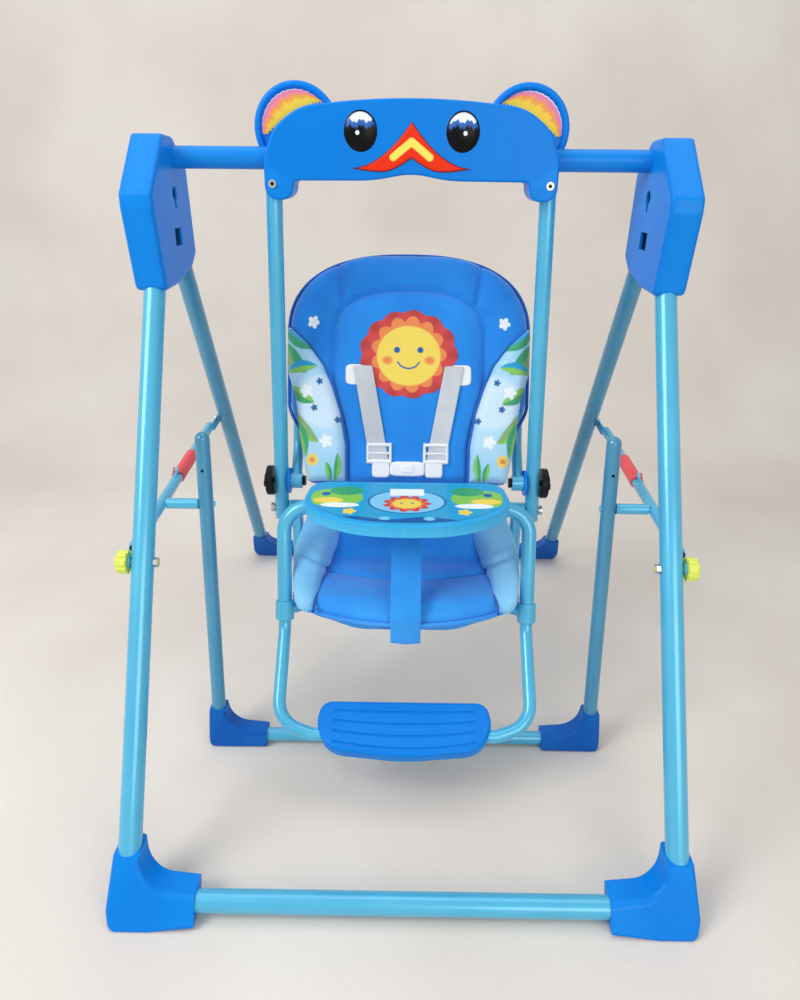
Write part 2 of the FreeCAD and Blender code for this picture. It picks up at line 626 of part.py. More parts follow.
def board_outline(inset, depth):
    """The face board's front outline: a high crown over two lobes, drawn in by an inset."""
    inner = board_half - lobe_wide
    shoulders = [(board_half * across_share, swing_level + board_rise * up_share)
                 for across_share, up_share, round_share in shoulder_shares]
    arch_foot = (board_half * arch_reach_share, board_edge + board_clear * 2)
    half = [arch_foot, (inner, board_edge), (inner, board_low), (board_half, board_low)] + shoulders
    arch_round = arch_foot[0] ** 2 / (board_arch - arch_foot[1]) * arch_round_share
    crown_round = shoulders[-1][0] ** 2 / (board_top - shoulders[-1][1]) * crown_round_share
    rounds = [arch_round * 2, lobe_round * heel_share, lobe_round, lobe_round]
    rounds = rounds + [board_half * shoulder_round_share * round_share
                       for across_share, up_share, round_share in shoulder_shares]
    points = [V(0, depth, board_arch)] + [V(x, depth, z) for x, z in half]
    points = points + [V(0, depth, board_top)] + [V(-x, depth, z) for x, z in reversed(half)]
    radii = [arch_round] + rounds + [crown_round] + rounds[::-1]
    outline = ring(points, radii)
    if inset > 0:
        outline = outline.makeOffset2D(-inset)
    return outline


board_depth = V(0, board_front + board_back, 0)
board = slab(board_outline(0, -board_front), board_depth)
board = softened(board, board_wall, lambda edge: edge.BoundBox.YMax + board_front < seam)
board = board.cut(slab(board_outline(board_wall, -board_front + board_wall), board_depth))
bar_room = cylinder(V(-board_half * 2, 0, swing_level), V(board_half * 2, 0, swing_level),
                    crossbar / 2 + socket_clear)
rear_room = Part.makeBox(board_half * 4, board_back + overrun, crossbar + socket_clear * 2,
                         V(-board_half * 2, 0, swing_level - crossbar / 2 - socket_clear))
board = board.cut(bar_room).cut(rear_room)

hanger_tube = size("hanger_diameter", 20.0)
hanger_start_drop = size("hanger_start_under_bar", 14.0)
hanger_top = swing_level - hanger_start_drop
hanger_inset = size("hanger_inset_from_board", 7.0)
hanger_spread = size("hanger_spread", 16.0)
hanger_top_offset = board_half - hanger_inset
hanger_low = size("hanger_low_level", 288.0)
hanger_lean = hanger_spread / (hanger_top - hanger_low)


def hanger_at(level):
    """The right hanger's centre at a level."""
    return V(hanger_top_offset + (hanger_top - level) * hanger_lean, 0, level)


hanger_bore = cylinder(hanger_at(hanger_top), hanger_at(hanger_low), hanger_tube / 2 + socket_clear)
board = board.cut(hanger_bore).cut(hanger_bore.mirror(V(0, 0, 0), V(1, 0, 0)))
screw = size("screw_diameter", 4.4)
screw_head = size("screw_head_diameter", 9.0)
head_thick = size("screw_head_thickness", 2.0)
screw_rise = size("board_screw_rise", 17.5)
screw_level = board_low + screw_rise
screw_inset = size("board_screw_inset", 3.2)
screw_place = V(hanger_at(screw_level).x - screw_inset, -board_front, screw_level)
screw_end = screw_place + V(0, board_front + hanger_tube / 2 - tube_wall * 2, 0)
board_screw = cylinder(screw_place, screw_end, screw / 2)
board_screw = board_screw.fuse(cylinder(screw_place - V(0, head_thick, 0), screw_place, screw_head / 2))
board = board.cut(both(cylinder(screw_place - V(0, overrun, 0), screw_end, screw / 2)))
feature("face_board", board)
feature("board_screws", both(board_screw))

ear_radius = size("ear_radius", 50.0)
ear_inset = size("ear_inset_from_board", 35.0)
ear_rise = size("ear_rise_over_bar", 32.0)
ear_thick = size("ear_board_thickness", 6.0)
ear_low_drop = size("ear_board_drop_under_bar", 12.5)
ear_offset = board_half - ear_inset
ear_level = swing_level + ear_rise
ear_low = swing_level - ear_low_drop
ear_start = V(0, board_back + board_clear, 0)
ear_centre = V(ear_offset, ear_start.y, ear_level)
backing_half = board_half - board_wall
backing_top = swing_level + board_rise * shoulder_shares[1][1]
ear_body = Part.makeBox(backing_half * 2, ear_thick, backing_top - ear_low, V(-backing_half, ear_start.y, ear_low))
ear = cylinder(ear_centre, ear_centre + V(0, ear_thick, 0), ear_radius)
cheek_points = [ear_centre, ear_centre + V(ear_radius, 0, 0),
                V((ear_centre.x + ear_radius + backing_half) / 2, ear_start.y, swing_level - board_arch_drop),
                V(backing_half, ear_start.y, board_edge), V(ear_centre.x, ear_start.y, board_edge)]
ear = ear.fuse(slab(Part.makePolygon(cheek_points + cheek_points[:1]), V(0, ear_thick, 0)))
ear_board = ear_body.fuse(ear).fuse(ear.mirror(V(0, 0, 0), V(1, 0, 0))).removeSplitter()
feature("ear_board", ear_board)

eye_half_wide = size("eye_half_width", 19.0)
eye_half_high = size("eye_half_height", 21.5)
eye_dome = size("eye_rise", 3.5)
eye_inset = size("eye_inset_from_board", 113.0)
eye_rise = size("eye_rise_over_bar", 28.0)
dome_radius = (eye_half_wide ** 2 + eye_dome ** 2) / (2 * eye_dome)
dome = Part.makeSphere(dome_radius, V(0, dome_radius - eye_dome, 0))
dome_slice = Part.makeBox(eye_half_wide * 4, eye_dome, eye_half_wide * 4,
                          V(-eye_half_wide * 2, -eye_dome, -eye_half_wide * 2))
stretch = FreeCAD.Matrix()
stretch.A33 = eye_half_high / eye_half_wide
eye = dome.common(dome_slice).transformGeometry(stretch)
eye.translate(V(board_half - eye_inset, -board_front, swing_level + eye_rise))
feature("eyes", both(eye))


# Hangers, down from the board's lobes to the seat

knob_level = size("recline_axis_level", 345.0)
rail_level = size("seat_rail_back_level", 303.0)
hanger = cylinder(hanger_at(hanger_top), hanger_at(hanger_low), hanger_tube / 2)
hanger = hanger.cut(cylinder(hanger_at(hanger_top), hanger_at(hanger_low), hanger_tube / 2 - tube_wall))
hanger = hanger.cut(cylinder(screw_place, screw_end, screw / 2))
sideways = V(hanger_tube, 0, 0)
recline_bolt = size("recline_bolt_diameter", 8.0)
for level in (knob_level, rail_level):
    place = hanger_at(level)
    hanger = hanger.cut(cylinder(place - sideways, place + sideways, recline_bolt / 2 + pin_clear))
pair("hanger", hanger)


# Seat frame: a rail bolted to the hangers, collars, a guard bar over the lap and a footrest frame

rail_tube = size("seat_rail_diameter", 16.0)
rail_wall = size("seat_rail_wall", 1.0)
rail_back_inset = size("seat_rail_back_inset", 21.5)
rail_corner_inset = size("seat_rail_corner_inset", 18.0)
rail_corner_reach = size("seat_rail_corner_reach", 112.0)
rail_corner_fall = size("seat_rail_corner_fall", 91.5)
rail_front_offset = size("seat_rail_front_offset", 62.0)
rail_front_reach = size("seat_rail_front_reach", 149.0)
rail_front_fall = size("seat_rail_front_fall", 97.0)
rail_back_offset = hanger_at(rail_level).x - rail_back_inset
rail_corner = V(rail_back_offset - rail_corner_inset, -rail_corner_reach, rail_level - rail_corner_fall)
rail_front = V(rail_front_offset, -rail_front_reach, rail_level - rail_front_fall)
rail_bend = size("seat_rail_bend", 30.0)
eye_wide = size("bolt_eye_diameter", 22.0)
bolt_gap = size("bolt_head_gap", 1.0)
eye_reach = size("bolt_eye_reach_in", 10.0)
eye_inner = rail_back_offset - eye_reach
rail_back = V(rail_back_offset, 0, rail_level)
rail_points = [rail_back, rail_corner, rail_front]
rail_points = rail_points + [mirrored(point) for point in reversed(rail_points)]
rail_line = path(rail_points, [rail_bend, rail_bend * 2, rail_bend * 2, rail_bend])
rail_solid = swept(rail_line, rail_tube / 2)
hanger_face = hanger_at(rail_level).x - hanger_tube / 2 - bolt_gap
rail_eye = cylinder(V(eye_inner, 0, rail_level), V(hanger_face, 0, rail_level), eye_wide / 2)
rail_bore = cylinder(V(0, 0, rail_level), V(side, 0, rail_level), recline_bolt / 2 + pin_clear)
rail = rail_solid.fuse(both(rail_eye)).cut(swept(rail_line, rail_tube / 2 - rail_wall)).cut(both(rail_bore))
rail = max(rail.Solids, key=lambda solid: solid.Volume)
feature("seat_rail", rail)

bolt_head = size("bolt_head_diameter", 14.0)
bolt_head_thick = size("bolt_head_thickness", 4.0)


def cross_bolt(level, inner):
    """A bolt through a hanger at a level, with a head inside and outside."""
    outer = hanger_at(level).x + hanger_tube / 2 + bolt_gap
    bolt_start = V(inner, 0, level)
    bolt_end = V(outer, 0, level)
    bolt = cylinder(bolt_start, bolt_end, recline_bolt / 2)
    bolt = bolt.fuse(cylinder(bolt_start - V(bolt_head_thick, 0, 0), bolt_start, bolt_head / 2))
    return bolt.fuse(cylinder(bolt_end, bolt_end + V(bolt_head_thick, 0, 0), bolt_head / 2))


feature("rail_bolts", both(cross_bolt(rail_level, eye_inner - bolt_gap / 5)))

guard_tube = size("guard_diameter", 19.0)
guard_inset = size("guard_inset_from_hanger", 18.5)
guard_foot_reach = size("guard_foot_reach", 128.0)
guard_foot_fall = size("guard_foot_fall", 91.0)
guard_top_reach = size("guard_top_reach", 88.0)
guard_height = size("guard_height", 133.0)
guard_offset = hanger_at(rail_level).x - guard_inset
guard_foot = V(guard_offset, -guard_foot_reach, rail_level - guard_foot_fall)
guard_top = V(guard_offset, -guard_top_reach, guard_foot.z + guard_height)
guard_bend = size("guard_bend", 34.0)
guard_points = [guard_foot, guard_top, mirrored(guard_top), mirrored(guard_foot)]
guard_line = path(guard_points, [guard_bend, guard_bend])
feature("guard_bar", swept(guard_line, guard_tube / 2).cut(swept(guard_line, guard_tube / 2 - rail_wall)))

foot_tube = size("foot_frame_diameter", 16.5)
foot_drop = size("foot_frame_straight", 24.0)
foot_bend_reach = size("foot_frame_bend_reach", 225.0)
foot_bend_fall = size("foot_frame_bend_fall", 105.0)
foot_low_inset = size("foot_frame_low_inset", 44.0)
foot_low_reach = size("foot_frame_low_reach", 234.0)
foot_low_fall = size("foot_frame_low_fall", 117.0)
foot_bend = V(guard_foot.x, -foot_bend_reach, guard_foot.z - foot_bend_fall)
foot_low = V(guard_foot.x - foot_low_inset, -foot_low_reach, guard_foot.z - foot_low_fall)
foot_radius = size("foot_frame_bend", 38.0)
foot_low_radius = size("foot_frame_low_bend", 22.0)
guard_run = (guard_foot - guard_top).normalize()
foot_start = guard_foot + guard_run * socket_clear
foot_points = [foot_start, guard_foot + guard_run * foot_drop, foot_bend, foot_low]
foot_points = foot_points + [mirrored(point) for point in reversed(foot_points)]
foot_bends = [foot_radius, foot_radius, foot_low_radius]
foot_line = path(foot_points, foot_bends + foot_bends[::-1])
foot_solid = swept(foot_line, foot_tube / 2)
feature("footrest_frame", foot_solid.cut(swept(foot_line, foot_tube / 2 - rail_wall)))

collar_wide = size("collar_diameter", 25.0)
collar_half = size("collar_half_length", 13.0)
collar_edge = size("collar_edge_radius", 2.0)
collar = cylinder(guard_foot - guard_run * collar_half, guard_foot + guard_run * collar_half, collar_wide / 2)
collar = softened(collar, collar_edge, lambda edge: edge.Curve.TypeId == "Part::GeomCircle")
reach_start = rail_corner - V(rail_tube / 2, 0, 0)
reach_in = cylinder(reach_start, guard_foot, rail_tube / 2)
collar = collar.fuse(reach_in)
collar = collar.cut(swept(rail_line, rail_tube / 2)).cut(swept(guard_line, guard_tube / 2)).cut(foot_solid)
collar = max(collar.Solids, key=lambda solid: solid.Volume)
feature("rail_collars", both(collar))

rest_half = size("footrest_half_width", 112.0)
rest_back_reach = size("footrest_back_reach", 200.0)
rest_back_fall = size("footrest_back_fall", 91.0)
rest_front_reach = size("footrest_front_reach", 270.0)
rest_front_fall = size("footrest_front_fall", 118.0)
rest_thick = size("footrest_thickness", 16.0)
rest_wall = size("footrest_wall", 2.2)
rest_edge = size("footrest_edge_radius", 4.5)
rest_corner = size("footrest_corner", 17.0)
groove = size("footrest_groove", 1.6)
groove_bow = size("footrest_groove_bow", 5.5)
rest_back = V(0, -rest_back_reach, guard_foot.z - rest_back_fall)
rest_front = V(0, -rest_front_reach, guard_foot.z - rest_front_fall)
rest_run = rest_front - rest_back
rest_unit = (rest_front - rest_back).normalize()
rest_down = V(0, -rest_unit.z, rest_unit.y)
wide = V(rest_half, 0, 0)
rest_shares = ((0.95, 0.0, 1.0), (1.0, 0.42, 2.6), (0.86, 0.88, 2.2), (0.0, 1.0, 16.0))
rest_half_points = [rest_back + rest_run * down_share + wide * across_share
                    for across_share, down_share, round_share in rest_shares]
rest_outline = rest_half_points + [mirrored(point) for point in reversed(rest_half_points[:-1])]
rest_rounds = [rest_corner * round_share for across_share, down_share, round_share in rest_shares]
rest_radii = rest_rounds + rest_rounds[-2::-1]
footrest = slab(ring(rest_outline, rest_radii), rest_down * rest_thick)
footrest = softened(footrest, rest_edge, lambda edge: abs((edge.CenterOfMass - rest_back).dot(rest_down)) < seam)
hollow_wire = ring(rest_outline, rest_radii).makeOffset2D(-rest_wall)
footrest = footrest.cut(slab(hollow_wire, rest_down * rest_thick).translated(rest_down * (rest_wall + groove)))
footrest = footrest.cut(swept(foot_line, foot_tube / 2 + socket_clear))
groove_reach_share = 0.8
groove_count = 4
for step in range(groove_count):
    share = (step + 1.0) / (groove_count + 1)
    middle = rest_back + rest_run * share
    bow = rest_unit * (groove_bow * share)
    reach = wide * groove_reach_share
    arc = Part.Arc(middle - reach - bow, middle + bow, middle + reach - bow).toShape()
    footrest = footrest.cut(swept(Part.Wire([arc]), groove))
footrest = max(footrest.Solids, key=lambda solid: solid.Volume)
feature("footrest", footrest)


# Tray: a shallow shell that clips round the guard bar and turns up about it

tray_half = size("tray_half_width", 131.0)
tray_back = size("tray_back_reach", 51.0)
tray_front = size("tray_front_reach", 185.0)
tray_lift = size("tray_top_over_guard", 21.0)
tray_top = guard_top.z + tray_lift
tray_deep = size("tray_rim_depth", 16.0)
tray_wall = size("tray_wall", 2.6)
tray_corner = size("tray_corner", 26.0)
clip_offset = size("tray_clip_offset", 74.0)
clip_wide = size("tray_clip_width", 16.0)
clip_wall = size("tray_clip_wall", 4.0)
tray_shares = ((0.96, 0.0, 1.0), (1.02, 0.58, 2.3), (0.55, 0.955, 5.0), (0.0, 1.0, 13.0))
tray_half_points = [V(tray_half * across_share, -tray_back - (tray_front - tray_back) * down_share, tray_top)
                    for across_share, down_share, round_share in tray_shares]
tray_points = tray_half_points + [mirrored(point) for point in reversed(tray_half_points[:-1])]
tray_rounds = [tray_corner * round_share for across_share, down_share, round_share in tray_shares]
tray_wire = ring(tray_points, tray_rounds + tray_rounds[-2::-1])
tray_down = V(0, 0, -1)
tray = slab(tray_wire, tray_down * tray_deep)
tray = softened(tray, tray_wall, lambda edge: edge.BoundBox.ZMin > tray_top - seam)
tray_room = slab(tray_wire.makeOffset2D(-tray_wall), tray_down * tray_deep)
tray = tray.cut(tray_room.translated(tray_down * (tray_wall + tray_wall / 3)))
guard_radius = guard_tube / 2
clip_low = guard_top.z - guard_radius - clip_wall
for turn in (-1, 1):
    clip = Part.makeBox(clip_wide, (guard_radius + clip_wall) * 2, tray_top - tray_wall - clip_low,
                        V(turn * clip_offset - clip_wide / 2, guard_top.y - guard_radius - clip_wall, clip_low))
    tray = tray.fuse(clip)
bar_way = cylinder(V(-side, guard_top.y, guard_top.z), V(side, guard_top.y, guard_top.z),
                   guard_radius + pin_clear * 2)
guard_room = swept(guard_line, guard_radius + lug_clear * 2)
notch_wide = (guard_radius + lug_clear * 2) * 2
clip_inner = clip_offset + clip_wide / 2 + seam
for turn in (-1, 1):
    notch = Part.makeBox(side, notch_wide, notch_wide, V(clip_inner, guard_top.y - notch_wide / 2,
                                                         guard_top.z - notch_wide))
    if turn < 0:
        notch = notch.mirror(V(0, 0, 0), V(1, 0, 0))
    tray = tray.cut(notch)
tray = tray.cut(bar_way)
rim_start = V(clip_inner, guard_top.y, guard_top.z)
rim_way = cylinder(rim_start, rim_start + V(side, 0, 0), guard_radius + lug_clear * 2)
tray = tray.cut(both(rim_way))
tray = max(tray.Solids, key=lambda solid: solid.Volume)
feature("tray", tray)


# Seat cushion: a crowned pan with a low back and two side bolsters, and the strap between the legs

pan_front = size("seat_front_reach", 177.0)
pan_front_half = size("seat_front_half_width", 131.0)
pan_corner_reach = size("seat_corner_reach", 136.0)
pan_back_half = size("seat_back_half_width", 111.0)
pan_thick = size("seat_thickness", 24.4)
pan_over_rail = size("seat_over_rail", 0.6)
pan_low = rail_front.z + rail_tube / 2 + pan_over_rail
pan_top = pan_low + pan_thick
turn_reach = size("seat_turn_reach", 46.0)
low_back_reach = size("low_back_reach", 5.0)
low_back_rise = size("low_back_rise", 85.0)
pan_turn = V(0, -turn_reach, pan_top)
low_back_top = V(0, -low_back_reach, pan_top + low_back_rise)
low_back_thick = size("low_back_thickness", 24.0)
pan_round = size("seat_edge_radius", 8.0)
crown_rise = size("seat_crown", 5.0)
channel_wide = size("channel_width", 5.0)
channel_deep = size("channel_depth", 2.5)
fabric_clear = size("fabric_clearance", 0.3)

profile = [V(0, -pan_front, pan_top), V(0, pan_turn.y, pan_top), V(0, low_back_top.y, low_back_top.z),
           V(0, low_back_top.y + low_back_thick, low_back_top.z),
           V(0, pan_turn.y + low_back_thick * 1.1, pan_low), V(0, -pan_front, pan_low)]
profile_radii = [pan_round, pan_round * 4, pan_round, pan_round, pan_round * 2, pan_round]
seat_body = slab(ring(profile, profile_radii), V(pan_front_half * 2, 0, 0))
seat_body.translate(V(-pan_front_half, 0, 0))
back_y = low_back_top.y + low_back_thick * 2
plan_half = V(pan_front_half, -pan_corner_reach, pan_low - pan_round)
plan_back = V(pan_back_half, pan_turn.y, pan_low - pan_round)
plan_end = V(pan_back_half, back_y, pan_low - pan_round)
front_arc = Part.Arc(plan_half, V(0, -pan_front, plan_half.z), mirrored(plan_half)).toShape()
plan = Part.Wire([front_arc] + Part.makePolygon([mirrored(plan_half), mirrored(plan_back), mirrored(plan_end),
                                                 plan_end, plan_back, plan_half]).Edges)
seat_body = seat_body.common(slab(plan, V(0, 0, low_back_top.z)))
across_radius = (pan_front_half ** 2 + crown_rise ** 2) / (2 * crown_rise)
pan_middle = (pan_front - turn_reach) / 2
along_radius = (pan_middle ** 2 + crown_rise ** 2) / (2 * crown_rise)
crown_level = pan_top + crown_rise
pillow = cylinder(V(0, -side, crown_level - across_radius), V(0, side, crown_level - across_radius), across_radius)
pillow_y = -(pan_front + turn_reach) / 2
pillow = pillow.common(cylinder(V(-side, pillow_y, crown_level - along_radius),
                                V(side, pillow_y, crown_level - along_radius), along_radius))
pillow_slice = Part.makeBox(pan_front_half * 2, pan_middle * 2, crown_rise + overrun,
                            V(-pan_front_half, -pan_front, pan_top - overrun))
seat_body = seat_body.fuse(pillow.common(pillow_slice).common(slab(plan, V(0, 0, low_back_top.z))))
rail_clear = swept(rail_line, rail_tube / 2 + fabric_clear)
seat_body = seat_body.cut(rail_clear)
crease_reach = size("seat_crease_reach", 94.0)
crease_bow = size("seat_crease_bow", 16.0)
crease_half = V(pan_back_half, -crease_reach, pan_top + crown_rise / 2)
crease = Part.Arc(crease_half, V(0, -crease_reach - crease_bow, crown_level), mirrored(crease_half)).toShape()
seat_body = seat_body.cut(swept(Part.Wire([crease]), channel_deep))
for place in (-pan_back_half / 3, pan_back_half / 3):
    low_run = Part.LineSegment(V(place, -pan_front - overrun, crown_level - channel_deep),
                               V(place, crease_half.y, crown_level)).toShape()
    seat_body = seat_body.cut(swept(Part.Wire([low_run]), channel_deep))
seat_body = max(seat_body.Solids, key=lambda solid: solid.Volume)
feature("seat_pad", seat_body)

bolster_out = size("bolster_outer_offset", 149.0)
bolster_round = size("bolster_edge_radius", 7.0)
bolster_front = size("bolster_front_reach", 144.0)
bolster_low = size("bolster_low_over_rail", 6.0)
bolster_high = size("bolster_height", 100.0)
bolster_shares = ((0.97, 0.0, 1.0), (0.28, 0.08, 1.0), (0.055, 0.84, 1.0), (0.167, 1.0, 1.0), (0.417, 0.74, 5.0),
                  (0.78, 0.50, 3.0), (1.0, 0.22, 1.4))
bolster_inner = pan_back_half - pan_round
bolster_level = rail_front.z + bolster_low
bolster_wire = ring([V(bolster_inner, -bolster_front * reach_share, bolster_level + bolster_high * up_share)
                     for reach_share, up_share, round_share in bolster_shares],
                    [bolster_round * round_share for reach_share, up_share, round_share in bolster_shares])
bolster = slab(bolster_wire, V(bolster_out - bolster_inner, 0, 0))
inner_plan = [V(place.x + fabric_clear, place.y, 0) for place in (plan_half, plan_back, plan_end)]
inner_plan = [V(0, -side, 0), V(inner_plan[0].x, -side, 0)] + inner_plan + [V(0, back_y, 0), V(0, -side, 0)]
bolster = bolster.cut(slab(Part.makePolygon(inner_plan), V(0, 0, leg_top)))
bolster = bolster.cut(rail_clear)
collar_end = guard_run * (collar_half + fabric_clear)
bolster = bolster.cut(cylinder(guard_foot - collar_end, guard_foot + collar_end, collar_wide / 2 + fabric_clear))
bolster = bolster.cut(cylinder(reach_start - V(fabric_clear, 0, 0), guard_foot, rail_tube / 2 + fabric_clear))
bolster = bolster.cut(cylinder(rail_back - V(side, 0, 0), rail_back + V(side, 0, 0), eye_wide / 2 + fabric_clear))
bolster = max(bolster.Solids, key=lambda solid: solid.Volume)
feature("seat_bolsters", both(bolster))

strap_half = size("crotch_strap_half_width", 19.0)
strap_thick = size("strap_thickness", 2.0)
strap_front = size("crotch_strap_front_reach", 180.5)
strap_edge = size("strap_edge_radius", 0.8)
strap_hang = size("crotch_strap_hang", 40.0)
loop_inner = guard_radius + fabric_clear
loop_outer = loop_inner + strap_thick
loop = cylinder(V(-strap_half, guard_top.y, guard_top.z), V(strap_half, guard_top.y, guard_top.z), loop_outer)
strap_knee = V(-strap_half, -strap_front, pan_top)
strap_low = pan_top - strap_hang
strap_top = V(-strap_half, guard_top.y - loop_inner, guard_top.z)
strap_points = [strap_top, strap_top - V(0, strap_thick, 0), strap_knee - V(0, strap_thick, 0),
                V(-strap_half, -strap_front - strap_thick, strap_low), V(-strap_half, -strap_front, strap_low),
                strap_knee]
strap = slab(ring(strap_points, [0, 0, strap_thick * 4, strap_edge, strap_edge, strap_thick * 3]),
             V(strap_half * 2, 0, 0))
loop = loop.fuse(strap)
loop = loop.cut(cylinder(V(-side, guard_top.y, guard_top.z), V(side, guard_top.y, guard_top.z), loop_inner))
feature("crotch_strap", max(loop.Solids, key=lambda solid: solid.Volume))


# Reclining back: a tube frame hinged at the hangers, its cushion, wings and harness

recline_rise = math.radians(size("back_angle", 20.4))
back_up = V(0, math.sin(recline_rise), math.cos(recline_rise))
back_in = V(0, math.cos(recline_rise), -math.sin(recline_rise))
back_pivot = V(0, 0, knob_level)


def on_back(x, along, behind):
    """A point of the leaning back, from across, along and behind its own plane."""
    return back_pivot + V(x, 0, 0) + back_up * along + back_in * behind


frame_tube = size("back_frame_diameter", 15.0)
frame_wall = size("back_frame_wall", 2.0)
pad_half_thick = size("back_pad_half_thickness", 14.0)
frame_inset = size("back_frame_inset", 21.0)
frame_offset = hanger_at(knob_level).x - frame_inset
frame_behind = pad_half_thick + frame_tube / 2 + fabric_clear
frame_knee = size("back_frame_knee", 50.0)
frame_top = size("back_frame_top", 284.0)
frame_bend = size("back_frame_bend", 90.0)
boss_gap = size("boss_gap", 0.4)
frame_half = [on_back(frame_offset, 0, 0), on_back(frame_offset, frame_knee, frame_behind),
              on_back(frame_offset, frame_top, frame_behind)]
frame_points = frame_half + [mirrored(point) for point in reversed(frame_half)]
frame_line = path(frame_points, [frame_tube * 2, frame_bend, frame_bend, frame_tube * 2])
eye_outer = frame_offset + frame_tube / 2
frame_eye = cylinder(V(eye_inner, 0, knob_level), V(eye_outer, 0, knob_level), eye_wide / 2)
knob_bore = cylinder(V(0, 0, knob_level), V(side, 0, knob_level), recline_bolt / 2 + pin_clear)
back_frame = swept(frame_line, frame_tube / 2).fuse(both(frame_eye))
back_frame = back_frame.cut(swept(frame_line, frame_tube / 2 - frame_wall)).cut(both(knob_bore))
back_frame = max(back_frame.Solids, key=lambda solid: solid.Volume)
feature("back_frame", back_frame)

boss_wide = size("boss_diameter", 36.0)
boss_start = V(eye_outer + boss_gap / 2, 0, knob_level)
boss_end = V(hanger_at(knob_level + boss_wide / 2).x - hanger_tube / 2 - seam * 5, 0, knob_level)
boss = cylinder(boss_start, boss_end, boss_wide / 2).cut(knob_bore)
feature("recline_bosses", both(boss))
black_wide = size("recline_knob_diameter", 42.0)
black_thick = size("recline_knob_thickness", 9.0)
black_face = V(hanger_at(knob_level - black_wide / 2).x + hanger_tube / 2 + boss_gap, 0, knob_level)
black = cylinder(black_face, black_face + V(black_thick, 0, 0), black_wide / 2)
black = softened(black, black_thick / 4, lambda edge: edge.BoundBox.XMin > black_face.x + seam
                 and edge.BoundBox.XLength < seam)
grip_rise = size("recline_grip_rise", 2.7)
grip_long = size("recline_grip_length", 29.4)
grip_wide = size("recline_grip_width", 7.2)
grip_face = black_face + V(black_thick, 0, 0)
black_step = cylinder(grip_face, grip_face + V(grip_rise, 0, 0), black_wide / 4)
black_grip = Part.makeBox(grip_rise, grip_long, grip_wide, grip_face - V(0, grip_long / 2, grip_wide / 2))
black = black.fuse(black_step).fuse(black_grip)
inner_end = V(eye_inner - boss_gap, 0, knob_level)
black = black.fuse(cylinder(inner_end, black_face, recline_bolt / 2))
black = black.fuse(cylinder(inner_end - V(bolt_head_thick, 0, 0), inner_end, bolt_head / 2))
pair("recline_knob", black.removeSplitter())

pad_crown = size("back_pad_crown", 8.0)
pad_edge = size("back_pad_edge_radius", 9.0)
pad_wide = size("back_pad_half_width", 169.0)
pad_high = size("back_pad_height", 315.0)
pad_shares = ((0.0, 1.0, 2.95), (0.58, 0.978, 0.355), (0.9, 0.8825, 0.415), (1.0, 0.635, 0.71),
              (1.0, 0.349, 0.355), (0.864, 0.184, 0.237), (0.828, 0.0254, 0.06))
panel_wide = size("back_panel_half_width", 104.0)
panel_high = size("back_panel_height", 265.0)
panel_shares = ((0.0, 1.0, 3.8), (0.75, 0.981, 0.29), (0.942, 0.887, 0.577), (1.0, 0.509, 0.77),
                (0.846, 0.283, 0.77), (0.808, 0.0453, 0.048))


def half_outline(shares, half_wide, high):
    """Places and corner radii of a right half outline, from its table of shares."""
    spots = [(half_wide * across_share, high * up_share) for across_share, up_share, round_share in shares]
    return spots, [half_wide * round_share for across_share, up_share, round_share in shares]


def pad_ring(spots, rounds, behind):
    """A closed outline on the leaning back, from its right half."""
    half = [on_back(x, along, behind) for x, along in spots]
    other = [mirrored(point) for point in reversed(half) if abs(point.x) > seam]
    other_rounds = [bend for bend, point in zip(reversed(rounds), reversed(half)) if abs(point.x) > seam]
    return ring(half + other, rounds + other_rounds)


pad_span = pad_half_thick * 2 + pad_crown
pad_spots, pad_rounds = half_outline(pad_shares, pad_wide, pad_high)
pad = slab(pad_ring(pad_spots, pad_rounds, -pad_half_thick - pad_crown), back_in * pad_span)
crown_half = pad_wide + fabric_clear * 8
pad_crown_radius = (crown_half ** 2 + pad_crown ** 2) / (2 * pad_crown)


def crown_core(sink):
    """The round bulk that crowns the cushion across, sunk by a depth."""
    axis_behind = pad_crown_radius - pad_half_thick - pad_crown + sink
    return cylinder(on_back(0, -pad_wide, axis_behind), on_back(0, pad_wide * 3, axis_behind), pad_crown_radius)


back_half = pad_half_thick
pad = softened(pad, pad_edge, lambda edge: abs((edge.CenterOfMass - back_pivot).dot(back_in) - back_half) < seam)
pad = pad.common(crown_core(0))
core = crown_core(channel_deep)
panel_spots, panel_rounds = half_outline(panel_shares, panel_wide, panel_high)
panel_wire = pad_ring(panel_spots, panel_rounds, -pad_span)
panel_outer = slab(panel_wire, back_in * pad_span * 2)
panel_inner = slab(panel_wire.makeOffset2D(-channel_wide), back_in * pad_span * 2)
pad = pad.cut(panel_outer.cut(panel_inner).cut(core))
seam_low_offset = size("top_seam_low_offset", 92.0)
seam_high_offset = size("top_seam_high_offset", 101.0)
seam_low = size("top_seam_low_along", 252.0)
seam_high = pad_high + pad_half_thick
for turn in (-1, 1):
    seam_line = [on_back(turn * seam_low_offset, seam_low, -pad_span),
                 on_back(turn * seam_low_offset + channel_wide, seam_low, -pad_span),
                 on_back(turn * seam_high_offset + channel_wide, seam_high, -pad_span),
                 on_back(turn * seam_high_offset, seam_high, -pad_span)]
    strip = slab(Part.makePolygon(seam_line + seam_line[:1]), back_in * pad_span * 2)
    pad = pad.cut(strip.cut(core))

